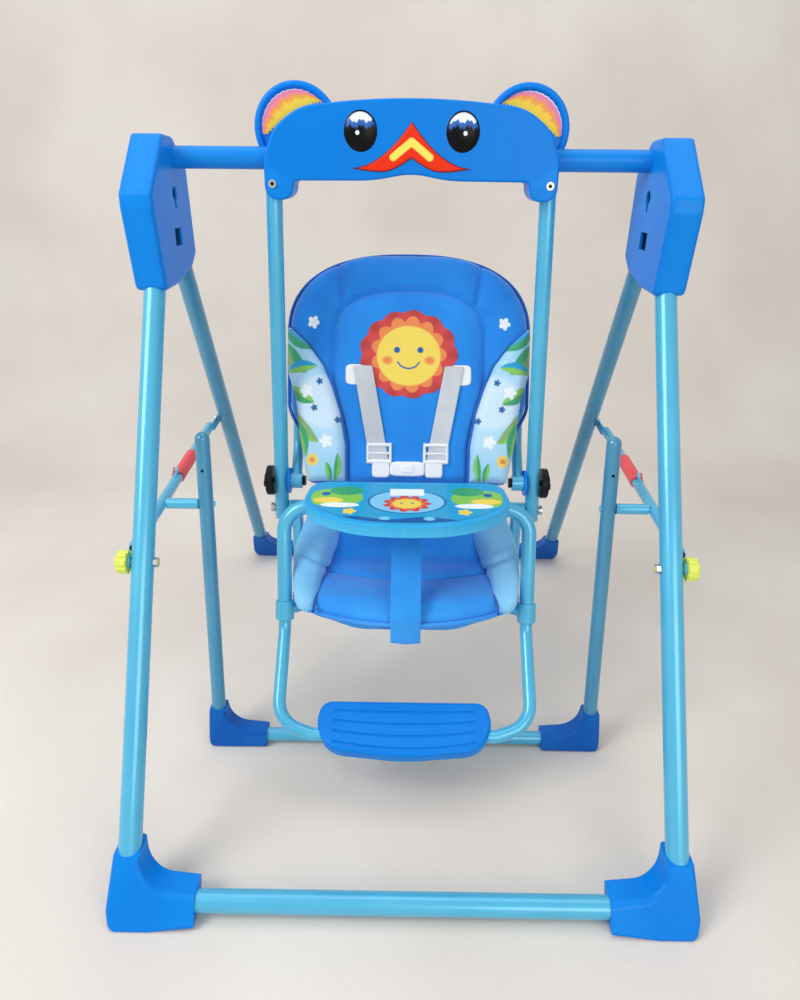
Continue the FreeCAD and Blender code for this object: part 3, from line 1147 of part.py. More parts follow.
wing_thick = size("wing_thickness", 20.0)
wing_lift = size("wing_lift", 13.7)
wing_wide = size("wing_outer_offset", 168.0)
wing_high = size("wing_height", 212.0)
wing_shares = ((0.5, 0.047, 0.048), (0.5, 0.236, 0.357), (0.613, 0.604, 0.476), (0.804, 0.896, 0.357),
               (0.988, 1.0, 0.036), (1.0, 0.708, 0.119), (0.935, 0.547, 0.179), (0.899, 0.283, 0.179),
               (0.827, 0.047, 0.048))
wing_spots, wing_rounds = half_outline(wing_shares, wing_wide, wing_high)
wing_wire = ring([on_back(x, along, -wing_lift) for x, along in wing_spots], wing_rounds)
wing_solid = slab(wing_wire, back_in * -wing_thick)
wing_face = -wing_lift - wing_thick
wing_solid = softened(wing_solid, bolster_round,
                      lambda edge: abs((edge.CenterOfMass - back_pivot).dot(back_in) - wing_face) < seam)
wing_solid = wing_solid.cut(pad)
wing_solid = max(wing_solid.Solids, key=lambda solid: solid.Volume)

strap_wide = size("harness_strap_width", 26.0)
strap_top_offset = size("harness_top_offset", 63.0)
strap_low_offset = size("harness_low_offset", 39.0)
strap_top_along = size("harness_top_along", 160.0)
adjust_top = size("adjuster_top_along", 53.0)
adjust_low = size("adjuster_low_along", 26.0)
adjust_half = size("adjuster_half_width", 17.0)
strap_behind = size("harness_sink", 20.8)
strap_deep = size("harness_strap_thickness", 2.8)
slot_half = size("slot_half_width", 18.0)
slot_high = size("slot_height", 28.0)
slot_out = size("slot_outward_offset", 5.0)
half_band = V(strap_wide / 2, 0, 0)
top_spot = on_back(strap_top_offset, strap_top_along, -strap_behind)
low_spot = on_back(strap_low_offset, adjust_top, -strap_behind)
band = [top_spot - half_band, top_spot + half_band, low_spot + half_band, low_spot - half_band]
harness = slab(Part.makePolygon(band + band[:1]), back_in * -strap_deep)
slot_middle = on_back(strap_top_offset + slot_out, strap_top_along, -strap_behind + strap_deep)
slot_side = V(slot_half, 0, 0)
slot_rise = back_up * strap_thick
slot_fall = back_up * -slot_high
slot_wire = ring([slot_middle - slot_side + slot_rise, slot_middle + slot_side + slot_rise,
                  slot_middle + slot_side + slot_fall, slot_middle - slot_side + slot_fall], [strap_thick] * 4)
slot_plate = slab(slot_wire, back_in * -(strap_deep + strap_thick)).cut(harness)

buckle_half = size("buckle_half_width", 42.0)
buckle_low = size("buckle_low_along", 10.0)
buckle_thick = size("buckle_thickness", 9.0)
adjuster_thick = size("adjuster_thickness", 6.3)
buckle_face = -strap_behind + strap_thick / 2
buckle_top = adjust_low + strap_thick
buckle_wire = ring([on_back(buckle_half, buckle_top, buckle_face), on_back(buckle_half, buckle_low, buckle_face),
                    on_back(-buckle_half, buckle_low, buckle_face),
                    on_back(-buckle_half, buckle_top, buckle_face)], [strap_thick * 2] * 4)
buckle = slab(buckle_wire, back_in * -buckle_thick)
adjust_inner = strap_low_offset - adjust_half
adjust_outer = strap_low_offset + adjust_half
adjuster_wire = ring([on_back(adjust_outer, adjust_top, buckle_face), on_back(adjust_outer, adjust_low, buckle_face),
                      on_back(adjust_inner, adjust_low, buckle_face),
                      on_back(adjust_inner, adjust_top, buckle_face)], [strap_thick * 2] * 4)
adjuster = slab(adjuster_wire, back_in * -adjuster_thick).cut(harness)
buckle = buckle.fuse(both(adjuster)).removeSplitter()
pad = pad.cut(both(harness)).cut(both(slot_plate)).cut(buckle)
feature("back_pad", max(pad.Solids, key=lambda solid: solid.Volume))
feature("back_wings", both(wing_solid))
feature("harness_straps", both(harness))
feature("harness_fittings", Part.makeCompound(buckle.Solids + both(slot_plate).Solids))
print("parts", len(nodes))

doc.recompute()
bad = [item.Label for item in doc.Objects if "Invalid" in item.State or "Error" in item.State]
if bad:
    raise SystemExit("failed objects: " + ", ".join(bad))
os.makedirs("parts", exist_ok=True)
for item in nodes:
    if item.Shape.isNull() or not item.Shape.isValid():
        raise SystemExit("broken shape: " + item.Label)
    item.Shape.exportStep("parts/" + item.Label + ".step")
    print(item.Label, len(item.Shape.Solids), round(item.Shape.Volume))
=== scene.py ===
"""Looks of a child's folding swing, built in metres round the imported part.

+X is the photo's right, -Y is the front and +Z is up, with the origin on the floor under the stand.
The sections follow the swing as it is put together: stand, crossbar and seat frame, face board, tray,
seat, strap, back with its prints and wings, and harness. The floor, lights and camera come last.
"""

import math

import bpy
import numpy as np
from mathutils import Matrix, Vector


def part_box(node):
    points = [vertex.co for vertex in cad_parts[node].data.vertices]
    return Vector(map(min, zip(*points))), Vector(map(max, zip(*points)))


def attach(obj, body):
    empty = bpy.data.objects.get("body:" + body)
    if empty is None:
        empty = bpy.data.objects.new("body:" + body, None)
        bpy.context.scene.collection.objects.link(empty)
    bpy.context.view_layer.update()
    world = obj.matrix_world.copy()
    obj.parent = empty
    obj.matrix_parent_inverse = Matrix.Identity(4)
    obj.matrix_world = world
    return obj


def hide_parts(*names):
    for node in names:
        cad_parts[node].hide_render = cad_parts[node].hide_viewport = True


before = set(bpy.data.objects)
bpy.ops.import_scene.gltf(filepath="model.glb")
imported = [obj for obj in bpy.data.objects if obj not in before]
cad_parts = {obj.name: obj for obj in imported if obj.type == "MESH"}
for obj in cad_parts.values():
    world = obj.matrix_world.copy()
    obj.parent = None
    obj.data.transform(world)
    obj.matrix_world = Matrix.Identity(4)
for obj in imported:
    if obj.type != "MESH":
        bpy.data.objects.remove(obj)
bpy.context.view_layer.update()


# Stand: two bent legs a side, floor bars and the low middle frame, all of steel tube with a powder coat.
# Moulded hubs and corner feet take the tubes' ends; the rear and middle ones are darker copies, a painted
# shade.
# The side stays fold under red sleeves, lime knobs clamp them to the front legs, and plated pins join what
# turns.
def linear(code):
    """sRGB hex to linear: c / 12.92 below 0.04045, else ((c + 0.055) / 1.055) ** 2.4."""
    parts = [int(code[i:i + 2], 16) / 255 for i in (1, 3, 5)]
    return tuple(c / 12.92 if c <= 0.04045 else ((c + 0.055) / 1.055) ** 2.4 for c in parts) + (1.0,)


def wired(made, inputs):
    """Sets a node's sockets to values, or links them to a given socket or a node's first live output."""
    for socket, value in inputs.items():
        if isinstance(value, bpy.types.Node):
            value = next(output for output in value.outputs if output.enabled)
        if isinstance(value, bpy.types.NodeSocket):
            made.id_data.links.new(value, made.inputs[socket])
        else:
            made.inputs[socket].default_value = value
    return made


def node(tree, kind, inputs=None, **settings):
    """Adds a shader node of a kind, with its settings and links."""
    made = tree.nodes.new("ShaderNode" + kind)
    for word, value in settings.items():
        setattr(made, word, value)
    return wired(made, inputs or {})


def started(name, inputs):
    """A new material, its tree, its shader with the numbers given, and the piece's own coordinates."""
    material = bpy.data.materials.new(name)
    material.use_nodes = True
    tree = material.node_tree
    shader = wired(tree.nodes["Principled BSDF"], inputs)
    return material, tree, shader, node(tree, "TexCoord").outputs["Object"]


def cloudy(tree, place, patch_mm, low, high, most, code, other_code):
    """A colour drifting to another: noise between low and high gives its share, from 0 to most."""
    cloud = node(tree, "TexNoise", {"Vector": place, "Scale": 1000 / patch_mm, "Detail": 3.0})
    share = node(tree, "MapRange", {"Value": cloud, "From Min": low, "From Max": high, "To Max": most})
    return node(tree, "Mix", {0: share, 6: linear(code), 7: linear(other_code)}, data_type="RGBA")


def surfaced(tree, shader, place, colour, patch_mm, dull, fine_mm, strength):
    """Gives a skin its colour, patches between two roughnesses, and a fine bump 0.4 mm deep at most."""
    patch = node(tree, "TexNoise", {"Vector": place, "Scale": 1000 / patch_mm, "Detail": 3.0})
    rough = node(tree, "MapRange", {"Value": patch, "To Min": dull[0], "To Max": dull[1]})
    fine = node(tree, "TexNoise", {"Vector": place, "Scale": 1000 / fine_mm, "Detail": 2.0})
    bump = node(tree, "Bump", {"Height": fine, "Strength": strength, "Distance": 0.0004})
    wired(shader, {"Base Color": colour, "Roughness": rough, "Normal": bump})


# Powder coat on steel tube: a smooth, slightly cloudy colour under gloss, with fine orange peel.
# Here and below, a noise's scale is 1000 over its pattern's size in mm.
coat_cloud_mm, gloss_patch_mm, peel_mm = 71.43, 11.11, 1.923


def powder_coat(name, code, shade_code):
    """A colour drifting to its shade, with patchy gloss over orange peel."""
    material, tree, shader, place = started(name, {"Metallic": 0.15, "Coat Weight": 0.55,
                                                   "Coat Roughness": 0.12})
    colour = cloudy(tree, place, coat_cloud_mm, 0.3, 0.75, 0.5, code, shade_code)
    surfaced(tree, shader, place, colour, gloss_patch_mm, (0.24, 0.36), peel_mm, 0.06)
    return material


# Moulded plastic such as polypropylene: a broad, soft sheen over fine grain, paler on sharp convex edges
flow_cloud_mm, sheen_patch_mm, grain_mm = 111.11, 16.667, 0.7143


def moulded(name, code=None, edge_code=None, roughness=0.36, grain=0.05):
    """A colour drifting to its edge colour, which also covers sharp convex edges; without a code it is a
    print.
    """
    material, tree, shader, place = started(name, {"Specular IOR Level": 0.12, "Coat Weight": 0.05,
                                                   "Coat Roughness": 0.2})
    if code:
        base = cloudy(tree, place, flow_cloud_mm, 0.35, 0.75, 0.22, code, edge_code)
        point = node(tree, "NewGeometry").outputs["Pointiness"]
        sharp_edge_share = node(tree, "MapRange", {"Value": point, "From Min": 0.505, "From Max": 0.58, "To Max": 0.55})
        colour = node(tree, "Mix", {0: sharp_edge_share, 6: base, 7: linear(edge_code)}, data_type="RGBA")
    else:
        colour = node(tree, "Attribute", attribute_name="tint")
    dull = roughness - 0.05, roughness + 0.07
    surfaced(tree, shader, place, colour, sheen_patch_mm, dull, grain_mm, grain)
    return material


# Zinc-plated steel: bright, with fine marks from the drawing of the bar, which run along the pins
draw_mark_mm = 1.111
zinc_plated, tree, shader, place = started("zinc_plated_steel", {"Metallic": 1.0,
                                                                 "Base Color": linear("#C9CDD2")})
drawn = node(tree, "Mapping", {"Vector": place, "Scale": (0.1, 1, 1)})
marks = node(tree, "TexNoise", {"Vector": drawn, "Scale": 1000 / draw_mark_mm, "Detail": 4.0})
dull = node(tree, "MapRange", {"Value": marks, "To Min": 0.22, "To Max": 0.42})
bump = node(tree, "Bump", {"Height": marks, "Strength": 0.08, "Distance": 0.0002})
wired(shader, {"Roughness": dull, "Normal": bump})


def dress(material, *names):
    """Gives CAD nodes their material."""
    for name in names:
        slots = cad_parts[name].data.materials
        slots.clear()
        slots.append(material)


def sides(*names):
    """The left and right names of paired nodes."""
    return [name + "_" + side for name in names for side in ("left", "right")]


sky_coat = powder_coat("sky_powder_coat", "#4EB9DE", "#3CA4D2")
# The rear legs, rear floor bar and middle uprights get a darker copy of the same powder coat, a painted shade
# on the tubes at the back.
shaded_coat = powder_coat("shaded_copy_powder_coat", "#4796BC", "#357FA2")
bright_plastic = moulded("bright_moulded_plastic", "#007CDC", "#0C8CE8")
# The rear and middle corner feet get a darker copy of the bright moulded plastic, a painted shade.
shaded_plastic = moulded("shaded_copy_moulded_plastic", "#0858B0", "#1672CA")
dress(sky_coat, "front_floor_bar", "mid_floor_bar", *sides("front_leg_upper", "front_leg_lower"))
dress(sky_coat, "mid_pins", *sides("stay_front_half", "stay_rear_half"))
dress(shaded_coat, "rear_floor_bar", *sides("rear_leg", "mid_upright"))
dress(bright_plastic, "crossbar_bushes", *sides("front_elbow", "hub_outer", "hub_inner"))
dress(shaded_plastic, *sides("rear_elbow", "mid_elbow"))
dress(moulded("red_moulded_sleeve", "#E2444C", "#F0666C"), *sides("stay_sleeve"))
dress(moulded("lime_moulded_knob", "#D3E04C", "#E7F07A"), *sides("stay_knob"))
dress(zinc_plated, "fold_pins", "knuckle_pins", "stay_rivets", "stay_nuts", "rail_bolts", "board_screws")


# Crossbar and the hanging seat's frame: the bar is a tube in a glossy bright blue skin, the hangers,
# guard bar, seat rail, footrest frame and back frame are powder-coated tube, and boards, footrest and
# recline bosses are moulded. The black knobs have a rougher grain, for grip.
black_plastic = moulded("black_moulded_knob", "#0B0C10", "#24262C", roughness=0.42, grain=0.1)
dress(moulded("crossbar_moulded_skin", "#067AD2", "#1A8CE4", roughness=0.3), "crossbar")
dress(sky_coat, "guard_bar", "footrest_frame", "seat_rail", "rail_collars", "back_frame", *sides("hanger"))
dress(bright_plastic, "face_board", "ear_board", "footrest", "recline_bosses")
dress(black_plastic, *sides("recline_knob"))


# Face on the crossbar's board: domed glossy eyes with a painted reflection and highlight, a red bill and
# scalloped ear linings, each a printed sheet stuck to the moulded board. A round rim stands up round each
# ear, and each of the board's screws shows a flat black hex sheet, a painted shade for its socket.
def mesh_piece(name, points, quads, material):
    """A smooth mesh object from points and four-sided faces, at the origin."""
    mesh = bpy.data.meshes.new(name)
    mesh.from_pydata(points.tolist(), [], quads.tolist())
    mesh.polygons.foreach_set("use_smooth", np.full(len(mesh.polygons), True))
    mesh.materials.append(material)
    mesh.update()
    piece = bpy.data.objects.new(name, mesh)
    bpy.context.collection.objects.link(piece)
    return piece


def grid_quads(rows, columns, wrap=False):
    """Faces of a rows by columns grid of points; wrap joins the last column to the first."""
    row = np.arange(rows - 1)[:, None] * columns
    column = np.arange(columns if wrap else columns - 1)[None, :]
    after = (column + 1) % columns
    faces = np.stack([row + column, row + after, row + columns + after, row + columns + column], axis=-1)
    return faces.reshape(-1, 4)


def sheet_piece(name, points, material):
    """An open curved sheet from a grid of points."""
    rows, columns = points.shape[:2]
    return mesh_piece(name, points.reshape(-1, 3), grid_quads(rows, columns), material)


def headings(line):
    """Unit steps along a line of points."""
    step = np.gradient(line, axis=0)
    return step / np.linalg.norm(step, axis=1, keepdims=True)


def tube_piece(name, line, radius, material, ring=10):
    """A round cord along a line: line + radius (cos a, sin a) in the plane square to its heading."""
    heading = headings(line)
    aside = np.cross(heading, np.array([0.31, 0.52, 0.79]))
    aside /= np.linalg.norm(aside, axis=1, keepdims=True)
    other = np.cross(heading, aside)
    turn = np.linspace(0, 2 * np.pi, ring, endpoint=False)[None, :, None]
    points = line[:, None] + radius * (np.cos(turn) * aside[:, None] + np.sin(turn) * other[:, None])
    return mesh_piece(name, points.reshape(-1, 3), grid_quads(len(line), ring, True), material)


def tint(piece, colours):
    """Stores one linear colour per point as the attribute that printed materials read."""
    layer = piece.data.attributes.new("tint", "FLOAT_COLOR", "POINT")
    full = np.ones((len(piece.data.vertices), 4))
    full[:, :3] = colours
    layer.data.foreach_set("color", full.ravel())


def smoothstep(low, high, value):
    """3 u^2 - 2 u^3 with u from 0 at low to 1 at high."""
    u = np.clip((value - low) / (high - low), 0, 1)
    return u * u * (3 - 2 * u)


def inks(*codes):
    """Printing inks as linear colours from sRGB hex."""
    return [np.array(linear(code)[:3]) for code in codes]


def over(ground, mask, ink):
    """Lays an ink over a ground by a mask: ground (1 - mask) + ink mask."""
    return ground * (1 - mask[..., None]) + ink * mask[..., None]


board_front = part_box("face_board")[0][1]
ear_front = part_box("ear_board")[0][1]
# Gloss ink on plastic film: smooth, without grain, and dull enough not to mirror the lamps
face_print = moulded("gloss_printed_film", roughness=0.34, grain=0.0)
eye_x, eye_z, eye_half_x, eye_half_z, eye_rise = 0.058, 0.787, 0.019, 0.0215, 0.0042
black_ink, reflection_blue_ink, white_print_and_highlight = inks("#04060A", "#3567B4", "#EAF6FF")
for side, turn, spot_x in (("left", -1, -0.18), ("right", 1, 0.13)):
    radius, angle = np.meshgrid(np.linspace(0, 1, 60) ** 0.8, np.linspace(0, 2 * np.pi, 120), indexing="ij")
    across, up = radius * np.cos(angle), radius * np.sin(angle)
    points = np.stack([turn * eye_x + eye_half_x * across, board_front - eye_rise * (1 - radius ** 2.4),
                       eye_z + eye_half_z * up], axis=-1)
    eye = sheet_piece("eye_" + side, points, face_print)
    # The blue band and white top of each eye are a painted reflection of light from above, and the white spot
    # a painted highlight.
    ripple = 0.07 * np.sin(9 * across + 2 * turn) + 0.04 * np.sin(23 * across)
    inside = smoothstep(0.93, 0.86, np.hypot(across, up))
    colours = over(black_ink, inside * smoothstep(0.12, 0.3, up + ripple), reflection_blue_ink)
    colours = over(colours, inside * smoothstep(0.44, 0.52, up + ripple), white_print_and_highlight)
    spot = smoothstep(0.14, 0.1, np.hypot(across - spot_x, (up + 0.08) * 1.1))
    tint(eye, over(colours, spot, white_print_and_highlight).reshape(-1, 3))
    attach(eye, "swing")
    if turn < 0:
        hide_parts("eyes")

bill_half, bill_tip, bill_rise, bill_notch, bill_proud = 0.0705, 0.749, 0.048, 0.0105, 0.0018
red_ink, bill_edge_ink, bill_yellow_ink = inks("#E93211", "#6E1420", "#FFE163")
share, lift = np.meshgrid(np.linspace(-1, 1, 240), np.linspace(0, 1, 50), indexing="ij")
reach = np.abs(share)
bill_high = bill_tip + bill_rise * (1 - reach) ** 2
bill_low = bill_tip - 0.004 * np.sin(np.pi * reach) + bill_notch * np.clip(1 - reach / 0.45, 0, 1) ** 1.5
bill_z = bill_low + (bill_high - bill_low) * lift
bill_x = bill_half * share
edge_far = np.minimum(lift, 1 - lift) * (bill_high - bill_low)
bill_y = board_front - 0.0003 - bill_proud * np.sqrt(np.clip(edge_far / 0.003, 0, 1))
bill = sheet_piece("bill", np.stack([bill_x, bill_y, bill_z], axis=-1), face_print)
stroke_top, stroke_run = np.array([0.0, 0.7765]), np.array([0.021, -0.016])
from_top = np.stack([np.abs(bill_x), bill_z], axis=-1) - stroke_top
along = np.clip(from_top @ stroke_run / (stroke_run ** 2).sum(), 0, 1)
stroke_far = np.linalg.norm(from_top - along[..., None] * stroke_run, axis=-1)
colours = over(red_ink, smoothstep(0.0016, 0.0006, edge_far), bill_edge_ink)
tint(bill, over(colours, smoothstep(0.0044, 0.0038, stroke_far), bill_yellow_ink).reshape(-1, 3))
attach(bill, "swing")

ear_x, ear_z, lining_radius, rim_radius, rim_thick = 0.136, 0.791, 0.0405, 0.0458, 0.0041
lining_tip, lining_bend, lining_end = np.array([[0.171, 0.785], [0.1322, 0.8195], [0.1005, 0.819]])
ear_yellow_ink, ear_orange_ink, ear_pink_ink = inks("#FFD94A", "#F9A24A", "#EE84A8")
for side, turn in (("left", -1), ("right", 1)):
    run, rise = np.meshgrid(np.linspace(0, 1, 220), np.linspace(0, 1, 50), indexing="ij")
    low = ((1 - run) ** 2)[..., None] * lining_tip + (2 * run * (1 - run))[..., None] * lining_bend
    low = low + (run ** 2)[..., None] * lining_end
    angle = np.radians(-9 + run * 150)
    scallop = lining_radius + 0.0008 * np.abs(np.sin(angle * 17))
    high = np.stack([ear_x + scallop * np.cos(angle), ear_z + scallop * np.sin(angle)], axis=-1)
    tooth = 0.0012 * (np.sin(run * 120) > 0.2) * (rise < 0.06)
    flat = low + (high - low) * rise[..., None]
    proud = ear_front - 0.0006 - 0.0012 * np.sin(np.pi * np.clip(rise, 0, 1)) ** 0.5
    points = np.stack([turn * flat[..., 0], proud, flat[..., 1] - tooth], axis=-1)
    lining = sheet_piece("ear_lining_" + side, points, face_print)
    wave = rise + 0.05 * np.sin(run * 40) + 0.04 * np.sin(run * 97)
    pale = smoothstep(0.93, 0.97, rise) + smoothstep(0.07, 0.03, rise) * (np.sin(run * 120) > 0.2)
    colours = over(ear_yellow_ink, smoothstep(0.3, 0.62, wave), ear_orange_ink)
    colours = over(colours, smoothstep(0.58, 0.85, wave), ear_pink_ink)
    tint(lining, over(colours, pale, white_print_and_highlight).reshape(-1, 3))
    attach(lining, "swing")
    angle = np.radians(np.linspace(-30, 158, 90))
    line = np.stack([turn * (ear_x + rim_radius * np.cos(angle)), np.full(90, ear_front - 0.0005),
                     ear_z + rim_radius * np.sin(angle)], axis=-1)
    ear_rim = tube_piece("ear_rim_" + side, line, rim_thick, bright_plastic, ring=16)
    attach(ear_rim, "swing")

screw_low, screw_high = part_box("board_screws")
socket_x, socket_z, socket_radius = screw_high[0] - 0.0045, (screw_low[2] + screw_high[2]) / 2, 0.0024
radius, angle = np.meshgrid(np.linspace(0, 1, 12), np.linspace(0, 2 * np.pi, 73), indexing="ij")
hexagon = np.cos(np.pi / 6) / np.cos((angle % (np.pi / 3)) - np.pi / 6)
reach = socket_radius * radius * hexagon
# Each socket is a flat black hex sheet on the screw's face, a painted shade standing in for the recess.
for side, turn in (("left", -1), ("right", 1)):
    points = np.stack([turn * socket_x + reach * np.cos(angle), screw_low[1] - 0.0002 + 0 * radius,
                       socket_z + reach * np.sin(angle)], axis=-1)
    socket = sheet_piece("screw_socket_shade_" + side, points, black_plastic)
    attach(socket, "swing")


# Tray: a moulded tray on the guard bar, with a printed film on its top. The film shows plain rolling
# shapes, clouds and dots round a ringed sunny flower, with a blank white label above it.
def coordinates(piece):
    """A piece's points as an array."""
    points = np.empty(len(piece.data.vertices) * 3)
    piece.data.vertices.foreach_get("co", points)
    return points.reshape(-1, 3)


def read_off(table, knots, places):
    """Each column of a table, read off in straight lines between its knots."""
    return np.stack([np.interp(places, knots, column) for column in table.T], axis=-1)


def even_line(line, count):
    """Points at even distances along a broken line."""
    gone = np.concatenate([[0], np.cumsum(np.linalg.norm(np.diff(line, axis=0), axis=1))])
    return read_off(line, gone, np.linspace(0, gone[-1], count))


def disc(x, y, centre_x, centre_y, radius, squash=1.0, soft=0.0006):
    """Mask of an oval disc: the distance, with y times the squash, is under the radius."""
    return smoothstep(radius + soft, radius - soft, np.hypot(x - centre_x, (y - centre_y) * squash))


def petals(x, y, centre_x, centre_y, radius, count, depth, soft=0.0006):
    """Mask of a flower: r < radius (1 - depth + depth |cos(count a / 2)|)."""
    angle = np.arctan2(y - centre_y, x - centre_x)
    limit = radius * (1 - depth + depth * np.abs(np.cos(count * angle / 2)))
    return smoothstep(soft, -soft, np.hypot(x - centre_x, y - centre_y) - limit)


dress(moulded("tray_moulded_plastic", "#2AA2DE", "#5AC4EE"), "tray")
tray_low, tray_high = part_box("tray")
tray_rim, print_lift = 0.0085, 0.0004
print_centre = (tray_high[1] + tray_low[1]) / 2
tray_points = coordinates(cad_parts["tray"])
tray_points = tray_points[tray_points[:, 2] > tray_high[2] - 0.006]
directions = np.linspace(0, 2 * np.pi, 361)
heading = np.stack([np.cos(directions), np.sin(directions)], axis=-1)
support = (tray_points[:, None, :2] - (0, print_centre)) @ heading.T[None]
support = support.reshape(-1, len(directions)).max(axis=0) - tray_rim
turned = np.gradient(support, directions)
outline = heading * support[:, None] + np.stack([-heading[:, 1], heading[:, 0]], axis=-1) * turned[:, None]
flat = even_line(outline, 420)[:, None] * np.linspace(0, 1, 110)[None, :, None]
print_level = np.full(flat.shape[:2], tray_high[2] + print_lift)
points = np.stack([flat[..., 0], print_centre + flat[..., 1], print_level], axis=-1)
# Gloss film on plastic: shinier than the tray, so that it mirrors the room softly
tray_film = moulded("gloss_tray_film", roughness=0.25, grain=0.02)
tray_print = sheet_piece("tray_print", points, tray_film)
px, py = points[..., 0], points[..., 1] - print_centre
teal, deep, green, leafy = inks("#2AA3D2", "#1B5FA6", "#8CCB4E", "#3FA66A")
yellow, white, misty, olive = inks("#F8D94E", "#F4FAFF", "#DDEEFB", "#8DB267")
orange, red, sky, pale = inks("#F08A3A", "#D8432F", "#7FCDF0", "#BFE3F6")
colours = over(teal, smoothstep(-0.001, 0.001, 0.004 * np.sin(px * 70) - py - 0.046), deep)
for turn in (-1, 1):
    for x, y, radius, squash, ink in ((0.092, 0.012, 0.036, 1.3, green), (0.078, 0.034, 0.022, 1.6, leafy),
                                      (0.100, 0.004, 0.019, 2.2, yellow), (0.084, -0.010, 0.024, 3.4, white),
                                      (0.104, 0.024, 0.006, 1.0, deep), (0.027, -0.047, 0.007, 1.4, sky)):
        colours = over(colours, disc(px, py, turn * x, y, radius, squash), ink)
    colours = over(colours, petals(px, py, turn * 0.071, -0.028, 0.009, 5, 0.4), yellow)
colours = over(colours, disc(px, py, 0, 0.002, 0.050, 1.4), deep)
colours = over(colours, disc(px, py, 0, 0.002, 0.047, 1.4), sky)
colours = over(colours, petals(px, (py + 0.004) * 1.25, 0, 0, 0.031, 11, 0.25), red)
colours = over(colours, petals(px, (py + 0.004) * 1.25, 0, 0, 0.023, 11, 0.2), orange)
colours = over(colours, disc(px, py, 0, -0.0045, 0.018, 1.3), yellow)
for turn in (-1, 1):
    colours = over(colours, disc(px, py, turn * 0.007, -0.003, 0.0018), deep)
label = smoothstep(0.0225, 0.0215, np.abs(px)) * smoothstep(0.0110, 0.0102, np.abs(py - 0.031))
tint(tray_print, over(colours, label, white).reshape(-1, 3))
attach(tray_print, "tray")


# Seat cushion: one padded cloth form that runs along the pan and up the low back, filled with foam and
# quilted by a cross crease. A cloth sleeve holds it to the rail's front, piping runs round its front
# edge, and a seam joins it to each bolster.
dye_cloud_mm, crease_mm = 90.91, 18.18


def woven(name, code, shade_code, pitch_mm=1.1):
    """Threads sin(2 pi x / pitch) sin(2 pi (y + z) / pitch) over cloudy dye, or a print without a code."""
    material, tree, shader, place = started(name, {"Sheen Weight": 0.35, "Sheen Roughness": 0.5,
                                                   "Specular IOR Level": 0.2, "Roughness": 0.82})
    split = node(tree, "SeparateXYZ", {"Vector": place}).outputs
    along = node(tree, "Math", {0: split["Z"], 1: split["Y"]}, operation="ADD")
    waves = []
    for run in (split["X"], along):
        phase = node(tree, "Math", {0: run, 1: 2000 * math.pi / pitch_mm}, operation="MULTIPLY")
        waves.append(node(tree, "Math", {0: phase}, operation="SINE"))
    crossed = node(tree, "Math", {0: waves[0], 1: waves[1]}, operation="MULTIPLY")
    thread = node(tree, "MapRange", {"Value": crossed, "From Min": -1.0})
    if code:
        ground = cloudy(tree, place, dye_cloud_mm, 0.3, 0.7, 1.0, code, shade_code)
    else:
        ground = node(tree, "Attribute", attribute_name="tint")
    dark = node(tree, "Mix", {0: 0.14, 6: ground, 7: linear(shade_code)}, data_type="RGBA")
    colour = node(tree, "Mix", {0: thread, 6: dark, 7: ground}, data_type="RGBA")
    soft = node(tree, "TexNoise", {"Vector": place, "Scale": 1000 / crease_mm, "Detail": 4.0})
    creases = node(tree, "Math", {0: soft, 1: 1.2}, operation="MULTIPLY")
    threads = node(tree, "Math", {0: thread, 1: 0.16}, operation="MULTIPLY")
    height = node(tree, "Math", {0: creases, 1: threads}, operation="ADD")
    bump = node(tree, "Bump", {"Height": height, "Strength": 0.35, "Distance": 0.0016})
    wired(shader, {"Base Color": colour, "Normal": bump})
    return material


def fuller(wave, power):
    """A wave with fuller shoulders: sign(w) |w|^power."""
    return np.sign(wave) * np.abs(wave) ** power


def rolled(to_rim, radius):
    """A rolled edge, from 0 at the rim to 1: sqrt(1 - (1 - d / r)^2) for the distance d under r."""
    return np.sqrt(1 - (1 - np.clip(to_rim / radius, 0, 1)) ** 2)


def pillow_piece(name, front, back, material):
    """A closed form from two grids that share their rim."""
    rows, columns = front.shape[:2]
    numbers = np.arange(rows * columns).reshape(rows, columns)
    other = numbers.copy()
    other[1:-1, 1:-1] = rows * columns + np.arange((rows - 2) * (columns - 2)).reshape(rows - 2, columns - 2)
    points = np.concatenate([front.reshape(-1, 3), back[1:-1, 1:-1].reshape(-1, 3)])
    faces = [grid[:, ::step] for grid, step in ((numbers, 1), (other, -1))]
    quads = [np.stack([g[:-1, :-1], g[:-1, 1:], g[1:, 1:], g[1:, :-1]], axis=-1).reshape(-1, 4)
             for g in faces]
    return mesh_piece(name, points, np.concatenate(quads), material)


def move_points(piece, points):
    """Writes an array of points back into a piece."""
    piece.data.vertices.foreach_set("co", points.ravel())
    piece.data.update()


def applied(piece):
    """Applies a piece's modifiers to its mesh."""
    graph = bpy.context.evaluated_depsgraph_get()
    material = piece.data.materials[0]
    mesh = bpy.data.meshes.new_from_object(piece.evaluated_get(graph))
    piece.modifiers.clear()
    piece.data = mesh
    mesh.materials.clear()
    mesh.materials.append(material)
    mesh.polygons.foreach_set("use_smooth", np.full(len(mesh.polygons), True))


def stuffed(piece, voxel, pressure, cap, steps=18):
    """Cloth filled by gentle pressure, each point held within a cap, then one subdivision."""
    remesh = piece.modifiers.new("remesh", "REMESH")
    remesh.mode = "VOXEL"
    remesh.voxel_size = voxel
    applied(piece)
    start = coordinates(piece)
    cloth = piece.modifiers.new("cloth", "CLOTH")
    cloth.settings.use_pressure = True
    cloth.settings.uniform_pressure_force = pressure
    cloth.settings.effector_weights.gravity = 0
    cloth.settings.quality = 6
    for step in range(1, steps + 1):
        bpy.context.scene.frame_set(step)
    applied(piece)
    bpy.context.scene.frame_set(1)
    move = coordinates(piece) - start
    length = np.linalg.norm(move, axis=1, keepdims=True)
    move_points(piece, start + move * np.minimum(1, cap / np.maximum(length, 1e-9)))
    fine = piece.modifiers.new("fine", "SUBSURF")
    fine.levels = 1
    applied(piece)


